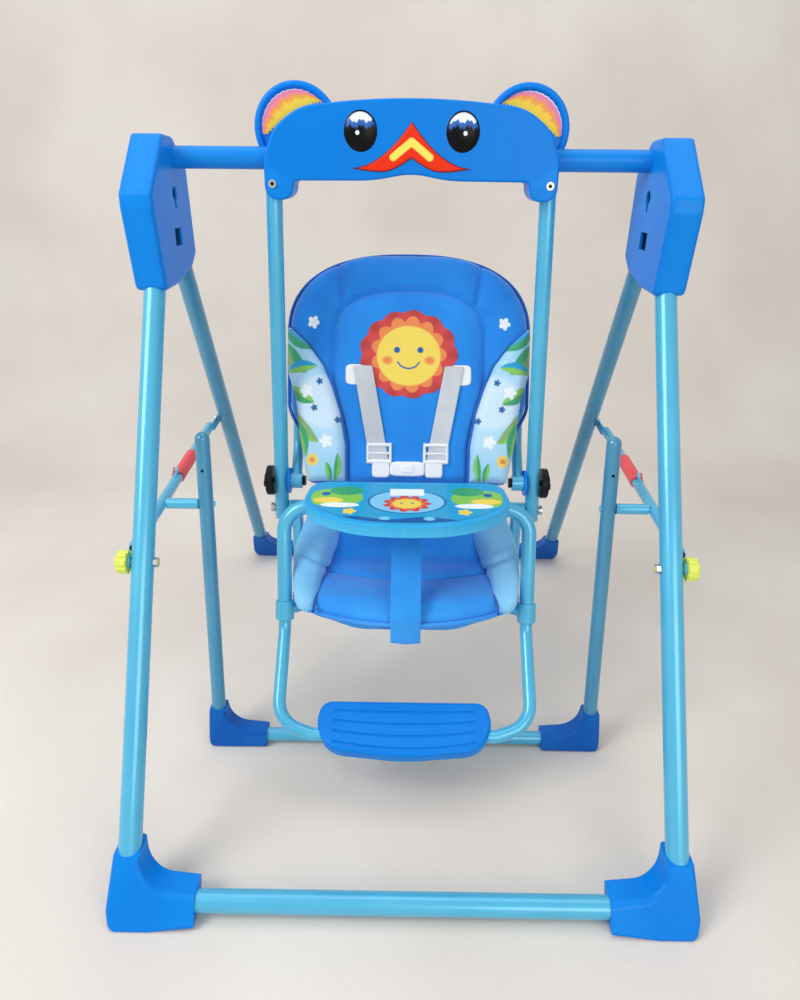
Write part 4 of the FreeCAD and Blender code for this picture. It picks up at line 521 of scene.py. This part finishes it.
# Dyed polyester, matt with a soft sheen; the piping is a finer, darker tape
seat_cloth = woven("seat_woven_polyester", "#3CA4F6", "#2890EA")
piping_cloth = woven("piping_woven_tape", "#1670CC", "#1058A8", pitch_mm=0.9)
pan_level, pan_front, pan_corner = 0.2395, -0.1815, -0.150
pan_half_front, pan_half_back = 0.127, 0.113
turn_y, top_y, top_z, turn_radius, pad_half = -0.046, -0.004, 0.3265, 0.030, 0.0125
climb = math.atan2(top_z - pan_level, top_y - turn_y)
reach_turn = turn_radius * math.tan(climb / 2)


def seat_line(s):
    """The cushion's face from the turn's start at s = 0: flat, then an arc, then a straight climb."""
    arc = turn_radius * climb
    angle = np.clip(s / turn_radius, 0, climb)
    rest = np.clip(s - arc, 0, None)
    y = turn_y - reach_turn + np.minimum(s, 0) + turn_radius * np.sin(angle) + rest * math.cos(climb)
    z = pan_level + turn_radius * (1 - np.cos(angle)) + rest * math.sin(climb)
    return y, z, -np.sin(angle), np.cos(angle)


climb_length = math.hypot(top_y - turn_y, top_z - pan_level) - reach_turn + turn_radius * climb
u, v = np.meshgrid(np.linspace(-1, 1, 110), np.linspace(0, 1, 120))
front_edge = pan_front + (pan_corner - pan_front) * np.abs(u) ** 2.3 - (turn_y - reach_turn)
s = front_edge + (climb_length - front_edge) * v
width = pan_half_front + (pan_half_back - pan_half_front) * smoothstep(-0.03, 0.04, s)
x = u * width
to_rim = np.minimum(np.minimum(width * (1 - np.abs(u)), s - front_edge), climb_length - s)
full = rolled(to_rim, 0.015)
y, z, ny, nz = seat_line(s)


def seat_face(offset):
    """The cushion's face moved along its own normal."""
    return np.stack([x, y + ny * offset, z + nz * offset], axis=-1)


seat = pillow_piece("seat_cushion", seat_face(-pad_half + pad_half * full),
                    seat_face(-pad_half - pad_half * full), seat_cloth)
stuffed(seat, voxel=0.005, pressure=3.0, cap=0.0025)
crease_deep, front_puff, rear_puff, strap_deep = 0.0042, 0.0065, 0.0050, 0.0016
points = coordinates(seat)
reach = np.abs(points[:, 0])
on_pan = smoothstep(-0.035, -0.055, points[:, 1]) * smoothstep(0.228, 0.236, points[:, 2])
crease_y = -0.100 + 0.027 * (points[:, 0] / 0.114) ** 2
from_crease = points[:, 1] - crease_y
crease = np.exp(-(from_crease / 0.0040) ** 2)
front_swell = front_puff * np.sin(np.pi * np.clip((-from_crease + 0.004) / 0.085, 0, 1)) ** 0.7
rear_swell = rear_puff * np.sin(np.pi * np.clip((from_crease + 0.004) / 0.055, 0, 1)) ** 0.7
side_fall = np.clip(1 - (reach / 0.125) ** 4, 0, 1)
strap_dip = np.exp(-((reach - 0.022) / 0.010) ** 2) * smoothstep(0.002, -0.010, from_crease)
swell = side_fall * (front_swell + rear_swell)
points[:, 2] += on_pan * (swell - crease_deep * crease - strap_deep * strap_dip)
on_back = smoothstep(0.262, 0.272, points[:, 2]) * smoothstep(-0.002, -0.008, points[:, 1])
points[:, 1] -= on_back * 0.003 * np.clip(1 - (reach / 0.1) ** 2, 0, 1)
move_points(seat, points)
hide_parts("seat_pad")
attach(seat, "swing")


def eased(table, window):
    """Each column averaged under a raised-cosine window, its end values held outwards."""
    weights = np.hanning(window) / np.hanning(window).sum()
    return np.stack([np.convolve(np.pad(column, window // 2, mode="edge"), weights, mode="valid")
                     for column in table.T], axis=-1)


angle = np.linspace(0, np.pi, 90)
corner_share = fuller(np.cos(angle), 0.8)
edge_y = -0.1495 - 0.0335 * (1 - np.abs(corner_share) ** 2.2)
edge = np.stack([0.1285 * corner_share, edge_y, 0.2262 + 0 * angle], axis=-1)
tail = np.array([[0.1505, -0.092, 0.2262], [0.1500, -0.110, 0.2262], [0.1462, -0.130, 0.2262]])
edge = eased(even_line(np.concatenate([tail, edge, (tail * (-1, 1, 1))[::-1]]), 220), 15)
rail_run = np.array([[-0.131, -0.1130, 0.2118], [-0.062, -0.149, 0.208], [0.062, -0.149, 0.208],
                     [0.131, -0.1130, 0.2118]])
rail_line = read_off(rail_run, np.arange(4), np.linspace(0, 3, 200))
rail_line[20:-20] = eased(rail_line, 41)[20:-20]
side_run = np.linspace(0, 1, 60)
side_seam = np.stack([0.1180 - 0.002 * side_run, -0.1680 + 0.098 * side_run,
                      0.2345 + 0.0045 * np.sqrt(side_run) + 0.003 * np.sin(np.pi * side_run)], axis=-1)
for name, line, radius, cloth in (("seat_piping", edge, 0.0026, seat_cloth),
                                  ("seat_sleeve", rail_line, 0.0096, seat_cloth),
                                  ("seat_seam_left", side_seam * (-1, 1, 1), 0.0019, piping_cloth),
                                  ("seat_seam_right", side_seam, 0.0019, piping_cloth)):
    piping = tube_piece(name, line, radius, cloth, ring=16)
    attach(piping, "swing")


# Seat's side bolsters: pale stuffed rolls that rise from the cushion's front corners to the low back,
# each sewn through once by a slanted crease.
def pressed(piece, depth):
    """Moves each point inwards along its normal by its own depth."""
    normals = np.empty(len(piece.data.vertices) * 3)
    piece.data.vertices.foreach_get("normal", normals)
    move_points(piece, coordinates(piece) - normals.reshape(-1, 3) * depth[:, None])


pale_cloth = woven("bolster_woven_polyester", "#9ADAF8", "#7AC6F4")
bolster_places = np.array([[0.1275, -0.1555, 0.2300], [0.1305, -0.1400, 0.2345], [0.1330, -0.1120, 0.2435],
                           [0.1325, -0.0820, 0.2525], [0.1275, -0.0550, 0.2640], [0.1195, -0.0340, 0.2810],
                           [0.1135, -0.0180, 0.2950]])
bolster_sizes = np.array([[0.0120, 0.0095], [0.0155, 0.0140], [0.0180, 0.0190], [0.0200, 0.0250],
                          [0.0230, 0.0290], [0.0240, 0.0265], [0.0215, 0.0180]])
bolster_rings, bolster_sides, stitch_deep, puff_high = 90, 48, 0.0032, 0.0014
knots, fine = np.linspace(0, 1, len(bolster_places)), np.linspace(0, 1, bolster_rings)
centre = eased(read_off(bolster_places, knots, fine), 15)
half = eased(read_off(bolster_sizes, knots, fine), 15)
half = half * np.sqrt(np.clip(np.minimum(fine, 1 - fine) / 0.07, 0.0004, 1))[:, None]
angle = np.linspace(0, 2 * np.pi, bolster_sides, endpoint=False)
round_x = fuller(np.cos(angle), 0.72)
round_z = fuller(np.sin(angle), 0.72)
lean = 0.28 * half[:, :1] * round_x
for side, turn in (("left", -1), ("right", 1)):
    points = np.stack([turn * (centre[:, :1] + half[:, :1] * round_x), centre[:, 1:2] + 0 * round_x,
                       centre[:, 2:] + half[:, 1:] * round_z + lean], axis=-1)
    bolster = mesh_piece("seat_bolster_" + side, points.reshape(-1, 3),
                         grid_quads(bolster_rings, bolster_sides, True), pale_cloth)
    stuffed(bolster, voxel=0.0045, pressure=2.5, cap=0.0025)
    points = coordinates(bolster)
    from_crease = points[:, 1] + 0.066 + (points[:, 2] - 0.243) * 1.2 - (np.abs(points[:, 0]) - 0.115) * 0.6
    stitch = np.exp(-(from_crease / 0.0042) ** 2)
    swell = np.exp(-((np.abs(from_crease) - 0.014) / 0.008) ** 2)
    pressed(bolster, stitch_deep * stitch - puff_high * swell)
    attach(bolster, "swing")
    if turn < 0:
        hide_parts("seat_bolsters")


# Strap between the legs: a webbing band sewn in a loop round the guard bar, which runs down over the
# seat's front edge and ends in a short flap.
def band_piece(name, line, across, half_width, half_thick, material):
    """A flat band with rounded edges along a line of points, closed at both ends."""
    across = np.ones_like(line) * across
    normal = np.cross(headings(line), across)
    normal /= np.linalg.norm(normal, axis=1, keepdims=True)
    angle = np.linspace(0, 2 * np.pi, 28, endpoint=False)
    wide = half_width * fuller(np.cos(angle), 0.35)
    thick = half_thick * fuller(np.sin(angle), 0.6)
    scale = np.ones(len(line))
    scale[[0, -1]] = 0.001
    points = line[:, None] + scale[:, None, None] * (wide[None, :, None] * across[:, None]
                                                     + thick[None, :, None] * normal[:, None])
    return mesh_piece(name, points.reshape(-1, 3), grid_quads(len(line), 28, True), material)


# Webbing of thicker yarn than the cushions' cloth, so that its threads show more
strap_cloth = woven("strap_woven_webbing", "#36A2F4", "#1E84DC", pitch_mm=1.5)
bar_y, bar_z, loop_radius, strap_half, strap_thick = -0.088, 0.345, 0.0109, 0.019, 0.0010
angle = np.radians(np.linspace(-70, 180, 40))
loop = np.stack([0 * angle, bar_y + loop_radius * np.cos(angle), bar_z + loop_radius * np.sin(angle)],
                axis=-1)
knee, flap_low = np.array([0, -0.1865, 0.2365]), np.array([0, -0.1855, 0.1990])
run = np.linspace(0.04, 0.97, 40)[:, None]
down = loop[-1] + (knee - loop[-1]) * run + np.array([0, -0.0025, 0.0025]) * np.sin(np.pi * run)
flap = knee + (flap_low - knee) * np.linspace(0.10, 1, 14)[:, None]
crotch = band_piece("crotch_band", np.concatenate([loop, down, flap]), (1, 0, 0), strap_half, strap_thick,
                    strap_cloth)
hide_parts("crotch_strap")
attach(crotch, "swing")


# Back cushion: a stuffed cloth form in front of the back's tube frame, crowned to the front. An inner
# panel with an arched top is sewn in, two seams run on to the top roll, and piping goes round the edge.
back_angle, back_pivot = math.radians(20.4), 0.345
back_up = np.array([0, math.sin(back_angle), math.cos(back_angle)])
back_out = np.array([0, -math.cos(back_angle), math.sin(back_angle)])
back_half, back_top, back_low, arch_start = 0.167, 0.313, -0.007, 0.200
back_thick, back_crown, waist_in, back_piping_radius = 0.013, 0.007, 0.028, 0.0024
puff_rise, seam_deep, panel_seam, top_seam = 0.0048, 0.0060, 0.0034, 0.0032
panel_half, panel_start, panel_rise, panel_power = 0.104, 0.195, 0.068, 2.6


def back_point(x, along, out):
    """A point of the leaning back: across, up along it, and out of its face."""
    x, along, out = np.broadcast_arrays(x, along, out)
    base = along[..., None] * back_up + out[..., None] * back_out
    return base + np.stack([x, 0 * x, back_pivot + 0 * x], axis=-1)


def back_coordinates(points):
    """Across, along and out of a point on the back."""
    local = points - np.array([0, 0, back_pivot])
    return local[..., 0], local @ back_up, local @ back_out


def back_width(along, power=2.5):
    """Half width up the back: a narrow waist, then straight, then (1 - rise^n)^(1/n) of the arch."""
    rise = np.clip((along - arch_start) / (back_top - arch_start), 0, 1)
    return (back_half - waist_in * smoothstep(0.11, 0.04, along)) * (1 - rise ** power) ** (1 / power)


def back_relief(x, along):
    """Height of the puffs less the depth of the sewn channels, by the distance from each seam."""
    reach = np.abs(x)
    across, up = reach / panel_half, np.maximum(along - panel_start, 0) / panel_rise
    ring = np.maximum((across ** panel_power + up ** panel_power) ** (1 / panel_power), 0.01)
    slope = np.hypot(across ** (panel_power - 1) / panel_half, up ** (panel_power - 1) / panel_rise)
    slope = np.maximum(slope * ring ** (1 - panel_power), 1)
    panel_side = reach - panel_half + 0.020 * smoothstep(0.14, 0.045, along)
    panel_far = np.where(along > panel_start, (ring - 1) / slope, panel_side)
    panel = np.exp(-(panel_far / panel_seam) ** 2)
    seam_far = np.hypot(reach - 0.0925 - (along - 0.25) * 0.13, np.minimum(along - 0.236, 0))
    seam = np.exp(-(seam_far / top_seam) ** 2)
    puff = smoothstep(0.0, 0.022, np.minimum(np.abs(panel_far), seam_far))
    return puff_rise * puff - seam_deep * np.maximum(panel, seam)


v = 1 - (1 - np.linspace(0, 1, 110)[:, None]) ** 1.5
u = np.linspace(-1, 1, 110)[None, :]
along = back_low + (back_top - 0.0004 - back_low) * v
width = back_width(along)
x = u * width
along = along + 0 * x
to_rim = np.minimum(np.minimum(width * (1 - np.abs(u)), along - back_low), (back_top - along) * 1.2)
full = rolled(to_rim, 0.018)
crown = back_crown * np.clip(1 - (x / back_half) ** 2, 0, 1) * full
back = pillow_piece("back_cushion", back_point(x, along, back_thick * full + crown),
                    back_point(x, along, -back_thick * full),
                    woven("back_woven_polyester", "#2490EA", "#1A7CD6"))
stuffed(back, voxel=0.0055, pressure=2.0, cap=0.0012)
points = coordinates(back)
x, along, out = back_coordinates(points)
facing = smoothstep(0.004, 0.010, out)
move_points(back, points + (facing * back_relief(x, along))[:, None] * back_out)
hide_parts("back_pad")
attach(back, "back")

swing_round = np.linspace(np.pi / 2, -np.pi / 2, 160)
arch_x = back_half * fuller(np.sin(swing_round), 0.8)
arch_along = arch_start + (back_top - arch_start) * np.cos(swing_round) ** 0.8
climb_along = np.linspace(0.012, arch_start, 60)[:-1]
edge_x = np.concatenate([back_width(climb_along), arch_x, -back_width(climb_along)[::-1]])
edge_along = np.concatenate([climb_along, arch_along, climb_along[::-1]])
edge_line = back_point(edge_x, edge_along, 0.0015)
edge_piping = tube_piece("back_piping", edge_line, back_piping_radius, piping_cloth, ring=12)
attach(edge_piping, "back")


# Prints on the back: a round sunny flower with red petals at its middle and a small white flower at
# each shoulder, of the same cloth as the wings, laid onto the cushion's face.
badge_along, badge_x, badge_y, bloom_x, bloom_along, bloom_radius = 0.175, 0.068, 0.060, 0.131, 0.218, 0.009
print_start, print_proud = 0.034, 0.0006
# Ink in the weave: the print keeps the cloth's threads, creases and matt sheen
printed_cloth = woven("printed_woven_polyester", None, "#3A86C8")
radius, angle = np.meshgrid(np.linspace(0.002, 1, 90), np.linspace(0, 2 * np.pi, 260), indexing="ij")
lobes = 0.93 + 0.07 * np.abs(np.cos(angle * 6.5))
bx, by = badge_x * radius * lobes * np.cos(angle), badge_y * radius * lobes * np.sin(angle)
badge = sheet_piece("back_badge", back_point(bx, badge_along + by, print_start), printed_cloth)
dark = 0.35 * (0.5 + 0.5 * np.cos(angle * 13)) * smoothstep(0.62, 1.0, radius * lobes)
colours = red * (1 - dark[..., None])
colours = over(colours, petals(bx, by, 0, 0, 0.052, 13, 0.16), orange)
colours = over(colours, disc(bx, by, 0, -0.002, 0.0435, 1.08), yellow)
for turn in (-1, 1):
    colours = over(colours, disc(bx, by, turn * 0.016, 0.006, 0.0042), deep)
    colours = over(colours, disc(bx, by, turn * 0.029, -0.008, 0.0068, 1.3, 0.003), orange)
smile = np.abs(np.hypot(bx, (by + 0.002)) - 0.017) < 0.0011
tint(badge, over(colours, (smile & (by < -0.010)).astype(float), deep).reshape(-1, 3))
prints = [badge]
lobes = bloom_radius * (0.6 + 0.4 * np.abs(np.cos(angle * 2.5 + 0.3)))
bx, by = radius * lobes * np.cos(angle), radius * lobes * np.sin(angle)
for side, turn in (("left", -1), ("right", 1)):
    spot = back_point(turn * bloom_x + bx, bloom_along + by, print_start)
    bloom = sheet_piece("back_bloom_" + side, spot, printed_cloth)
    tint(bloom, np.ones((bx.size, 3)) * white)
    prints.append(bloom)
for piece in prints:
    wrap = piece.modifiers.new("wrap", "SHRINKWRAP")
    wrap.target = back
    wrap.wrap_method = "NEAREST_SURFACEPOINT"
    wrap.offset = print_proud
    applied(piece)
    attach(piece, "back")


# Back's side wings: thin padded panels of printed cloth that curve round the cushion's sides, with bent
# leaves, flowers and small stars on a misty ground. A tape covers each wing's inner seam.
def leaf(x, y, root, tip, wide, bow=0.0, soft=0.0006):
    """Masks of a leaf, |offset| < wide sin(pi t)^0.8 along its bowed rib, and of the rib's one side."""
    run = np.subtract(tip, root)
    length = math.hypot(*run)
    t = ((x - root[0]) * run[0] + (y - root[1]) * run[1]) / length ** 2
    bend = np.sin(np.pi * np.clip(t, 0, 1))
    offset = ((y - root[1]) * run[0] - (x - root[0]) * run[1]) / length - bow * bend
    limit = wide * bend ** 0.8
    return (limit > soft) * smoothstep(soft, -soft, np.abs(offset) - limit), smoothstep(-soft, soft, offset)


wing_top, wing_thick, wing_swell, tape_radius = 0.211, 0.0135, 0.003, 0.0016
wing_leaves = (((0.170, 0.209), (0.124, 0.183), 0.0100, 0.004, teal, leafy),
               ((0.168, 0.190), (0.139, 0.148), 0.0110, 0.005, leafy, olive),
               ((0.168, 0.150), (0.124, 0.158), 0.0080, -0.003, teal, green),
               ((0.163, 0.132), (0.128, 0.108), 0.0085, 0.003, green, leafy),
               ((0.164, 0.104), (0.122, 0.054), 0.0110, 0.007, olive, green),
               ((0.158, 0.088), (0.140, 0.034), 0.0080, -0.004, leafy, green),
               ((0.100, 0.000), (0.096, 0.040), 0.0050, 0.002, leafy, green),
               ((0.106, 0.000), (0.112, 0.028), 0.0045, 0.001, green, leafy))
wing_flowers = ((0.139, 0.124, 0.0095, 5, 0.42, white), (0.112, 0.056, 0.0095, 5, 0.42, white),
                (0.121, 0.137, 0.0050, 5, 0.5, deep), (0.128, 0.101, 0.0050, 5, 0.5, deep),
                (0.157, 0.098, 0.0050, 5, 0.5, deep), (0.096, 0.085, 0.0050, 5, 0.5, deep),
                (0.131, 0.030, 0.0095, 8, 0.3, yellow))
u = np.linspace(0, 1, 90)[None, :]
along = wing_top * np.linspace(0, 1, 170)[:, None] + 0 * u
inner = np.interp(along, [0.00, 0.05, 0.095, 0.13, 0.16, 0.19, 0.211],
                  [0.085, 0.0855, 0.093, 0.104, 0.1165, 0.1385, 0.162])
outer = np.interp(along, [0.00, 0.06, 0.115, 0.15, 0.2, 0.211],
                  [0.139, 0.150, 0.156, 0.1665, 0.1672, 0.1665])
x = inner + (outer - inner) * u
to_rim = np.minimum(np.minimum(x - inner, outer - x) * 0.9, np.minimum(along, wing_top - along))
full = rolled(to_rim, 0.012)
base = 0.0165 - 0.002 * u
swell = wing_thick * full + wing_swell * np.sin(np.pi * u) * full
for side, turn in (("left", -1), ("right", 1)):
    wing = pillow_piece("back_wing_" + side, back_point(turn * x, along, base + swell),
                        back_point(turn * x, along, base - 0.002 * full), printed_cloth)
    px, py = back_coordinates(coordinates(wing))[:2]
    px = px * turn
    haze = 0.5 + 0.5 * np.sin(px * 60 + 1.5) * np.cos(py * 45)
    colours = over(pale, 0.6 * haze, sky)
    colours = over(colours, 0.8 * smoothstep(0.012, 0.0, np.hypot(px - 0.118, py - 0.110) - 0.030), misty)
    for root, tip, wide, bow, shade, light in wing_leaves:
        mask, lit = leaf(px, py, root, tip, wide, bow)
        colours = over(over(colours, mask, shade), mask * lit, light)
    for flower_x, flower_y, radius, count, depth, ink in wing_flowers:
        colours = over(colours, petals(px, py, flower_x, flower_y, radius, count, depth), ink)
    tint(wing, over(colours, disc(px, py, 0.131, 0.030, 0.0035), orange))
    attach(wing, "back")
    if turn < 0:
        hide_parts("back_wings")
    line = back_point(turn * (inner[:, 0] - 0.001), along[:, 0], 0.0215 + 0 * along[:, 0])
    wing_tape = tube_piece("wing_piping_" + side, line, tape_radius, piping_cloth)
    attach(wing_tape, "back")


# Harness: two grey webbing straps come through slot plates in the back, run down through a ladder
# adjuster each, and end in the white moulded buckle with its push button.
def plate_piece(name, centre, half_x, half_t, low, high, power=5.0):
    """A moulded plate on the back: a superellipse outline with rolled edges between two depths."""
    u, v = np.meshgrid(np.linspace(-1, 1, 36), np.linspace(-1, 1, 28))
    pull = (np.abs(u) ** power + np.abs(v) ** power) ** (1 / power)
    pull = np.maximum(np.abs(u), np.abs(v)) / np.maximum(pull, 1e-9)
    x, t = centre[0] + half_x * u * pull, centre[1] + half_t * v * pull
    to_rim = np.minimum((1 - np.abs(u)) * half_x, (1 - np.abs(v)) * half_t)
    full = rolled(to_rim, 0.0025)
    middle = (low + high) / 2
    plate = pillow_piece(name, back_point(x, t, middle + (high - middle) * full),
                         back_point(x, t, middle + (low - middle) * full), white_plastic)
    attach(plate, "back")
    return plate


white_plastic = moulded("white_moulded_buckle", "#E9ECEF", "#FFFFFF", roughness=0.3)
webbing_cloth = woven("grey_woven_webbing", "#D5D9DE", "#AEB4BC", pitch_mm=1.6)
top_x, low_x, top_t, low_t, web_half, web_thick = 0.063, 0.039, 0.161, 0.030, 0.013, 0.0008
plate_low, adjuster_low, adjuster_x, adjuster_t, web_out = 0.0205, 0.0215, 0.039, 0.040, 0.0273
run = np.linspace(0, 1, 60)
rise = web_out + 0.0012 * np.sin(np.pi * run) - 0.004 * smoothstep(0.03, 0.0, run)
for side, turn in (("left", -1), ("right", 1)):
    line = back_point(turn * (top_x + (low_x - top_x) * run), top_t + (low_t - top_t) * run, rise)
    webbing = band_piece("harness_web_" + side, line, (1, 0, 0), web_half, web_thick, webbing_cloth)
    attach(webbing, "back")
    if turn < 0:
        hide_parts("harness_straps")
    plate_piece("harness_slot_" + side, (turn * 0.068, 0.1475), 0.0185, 0.0145, plate_low, 0.0257)
    for part, middle_t, half_t, high in (("top", 0.0515, 0.0028, 0.0307), ("bar", adjuster_t, 0.0020, 0.0297),
                                         ("foot", 0.0285, 0.0034, 0.0307)):
        plate_piece("adjuster_" + part + "_" + side, (turn * adjuster_x, middle_t), 0.0172, half_t,
                    adjuster_low, high)
    for part, offset in (("inner", -0.0155), ("outer", 0.0155)):
        plate_piece("adjuster_" + part + "_" + side, (turn * (adjuster_x + offset), adjuster_t), 0.0022,
                    0.0145, adjuster_low, 0.0304)
buckle = plate_piece("harness_buckle_body", (0, 0.0185), 0.0245, 0.0105, plate_low, 0.0317)
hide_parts("harness_fittings")
for part, turn in (("left", -1), ("right", 1)):
    plate_piece("harness_buckle_" + part, (turn * 0.0365, 0.0175), 0.0125, 0.0115, plate_low, 0.0302)
plate_piece("harness_button", (0, 0.0185), 0.009, 0.006, 0.0297, 0.0330)


# Room: a pale floor that bends up into a backdrop, a soft world that shows the backdrop's colour to
# the camera and in reflections, and three soft lamps.
floor_half, floor_near, wall_back, wall_high, floor_bend = 2.6, -2.2, 1.5, 2.6, 0.6
mottle_mm, floor_grain_mm = 454.5, 6.25
bend = np.linspace(0, np.pi / 2, 24)
curve = floor_bend * np.stack([np.sin(bend), 1 - np.cos(bend)], axis=-1) + (wall_back - floor_bend, 0)
profile = np.concatenate([[[floor_near, 0.0]], curve, [[wall_back, wall_high]]])
span = np.linspace(-floor_half, floor_half, 6)
points = np.stack([span[None, :] + 0 * profile[:, :1], profile[:, :1] + 0 * span[None, :],
                   profile[:, 1:] + 0 * span[None, :] - 0.0004], axis=-1)
pale_paper, tree, shader, place = started("pale_backdrop_paper", {"Roughness": 0.9})
colour = cloudy(tree, place, mottle_mm, 0.35, 0.65, 1.0, "#E7E1D9", "#DDD5CB")
grain = node(tree, "TexNoise", {"Vector": place, "Scale": 1000 / floor_grain_mm, "Detail": 5.0})
bump = node(tree, "Bump", {"Height": grain, "Strength": 0.25, "Distance": 0.002})
wired(shader, {"Base Color": colour, "Normal": bump})
sheet_piece("pale_floor", points, pale_paper)

scene = bpy.context.scene
world = bpy.data.worlds.new("soft_room")
world.use_nodes = True
room = world.node_tree
lit = wired(room.nodes["Background"], {"Color": linear("#F4F8FF"), "Strength": 0.52})
backdrop = node(room, "Background", {"Color": linear("#D9D4CD")})
rays = node(room, "LightPath").outputs
mirrored = node(room, "Math", {0: rays["Is Glossy Ray"], 1: rays["Is Transmission Ray"]})
seen = node(room, "Math", {0: rays["Is Camera Ray"], 1: mirrored}, use_clamp=True)
shown = node(room, "MixShader", {"Fac": seen, 1: lit, 2: backdrop})
wired(room.nodes["World Output"], {"Surface": shown})
scene.world = world


def area_light(name, place, aim, energy, size_x, size_y, code):
    """A rectangular soft light pointed at a place."""
    data = bpy.data.lights.new(name, "AREA")
    data.shape = "RECTANGLE"
    data.size, data.size_y, data.energy = size_x, size_y, energy
    data.color = linear(code)[:3]
    lamp = bpy.data.objects.new(name, data)
    lamp.location = place
    lamp.rotation_euler = (Vector(aim) - Vector(place)).to_track_quat("-Z", "Y").to_euler()
    bpy.context.collection.objects.link(lamp)


area_light("window_key", (-1.6, -1.2, 1.9), (0, 0, 0.4), 32, 1.1, 1.3, "#FFFFFF")
area_light("front_fill", (0.9, -2.2, 1.0), (0, 0, 0.35), 15, 1.4, 1.0, "#FFF9F0")
area_light("top_soft", (0, 0.2, 2.3), (0, 0, 0.3), 12, 2.0, 1.4, "#FFFFFF")


# Camera at the photograph's place and angle, fitted to the frame's tubes: its focal length is in
# pixels of an 800 by 1000 picture, and pitch, roll and yaw are in radians.
focal_pixels, picture_wide, picture_high, sensor = 724.63, 800, 1000, 36.0
pitch, roll, yaw = 0.424616, -0.0092757, -0.0075980
ahead = Vector((math.sin(yaw) * math.cos(pitch), math.cos(yaw) * math.cos(pitch), -math.sin(pitch)))
level = Vector((math.cos(yaw), -math.sin(yaw), 0))
below = ahead.cross(level)
right = math.cos(roll) * level + math.sin(roll) * below
down = -math.sin(roll) * level + math.cos(roll) * below
camera_data = bpy.data.cameras.new("camera")
camera_data.lens = focal_pixels / picture_high * sensor
camera_data.sensor_width = sensor
camera_data.clip_start = 0.05
camera = bpy.data.objects.new("camera", camera_data)
camera.matrix_world = Matrix((
    (right.x, -down.x, -ahead.x, -0.00252), (right.y, -down.y, -ahead.y, -0.94774),
    (right.z, -down.z, -ahead.z, 0.74476), (0, 0, 0, 1)))
bpy.context.collection.objects.link(camera)
scene.camera = camera
scene.render.resolution_x, scene.render.resolution_y = picture_wide, picture_high
scene.view_settings.view_transform = "Standard"
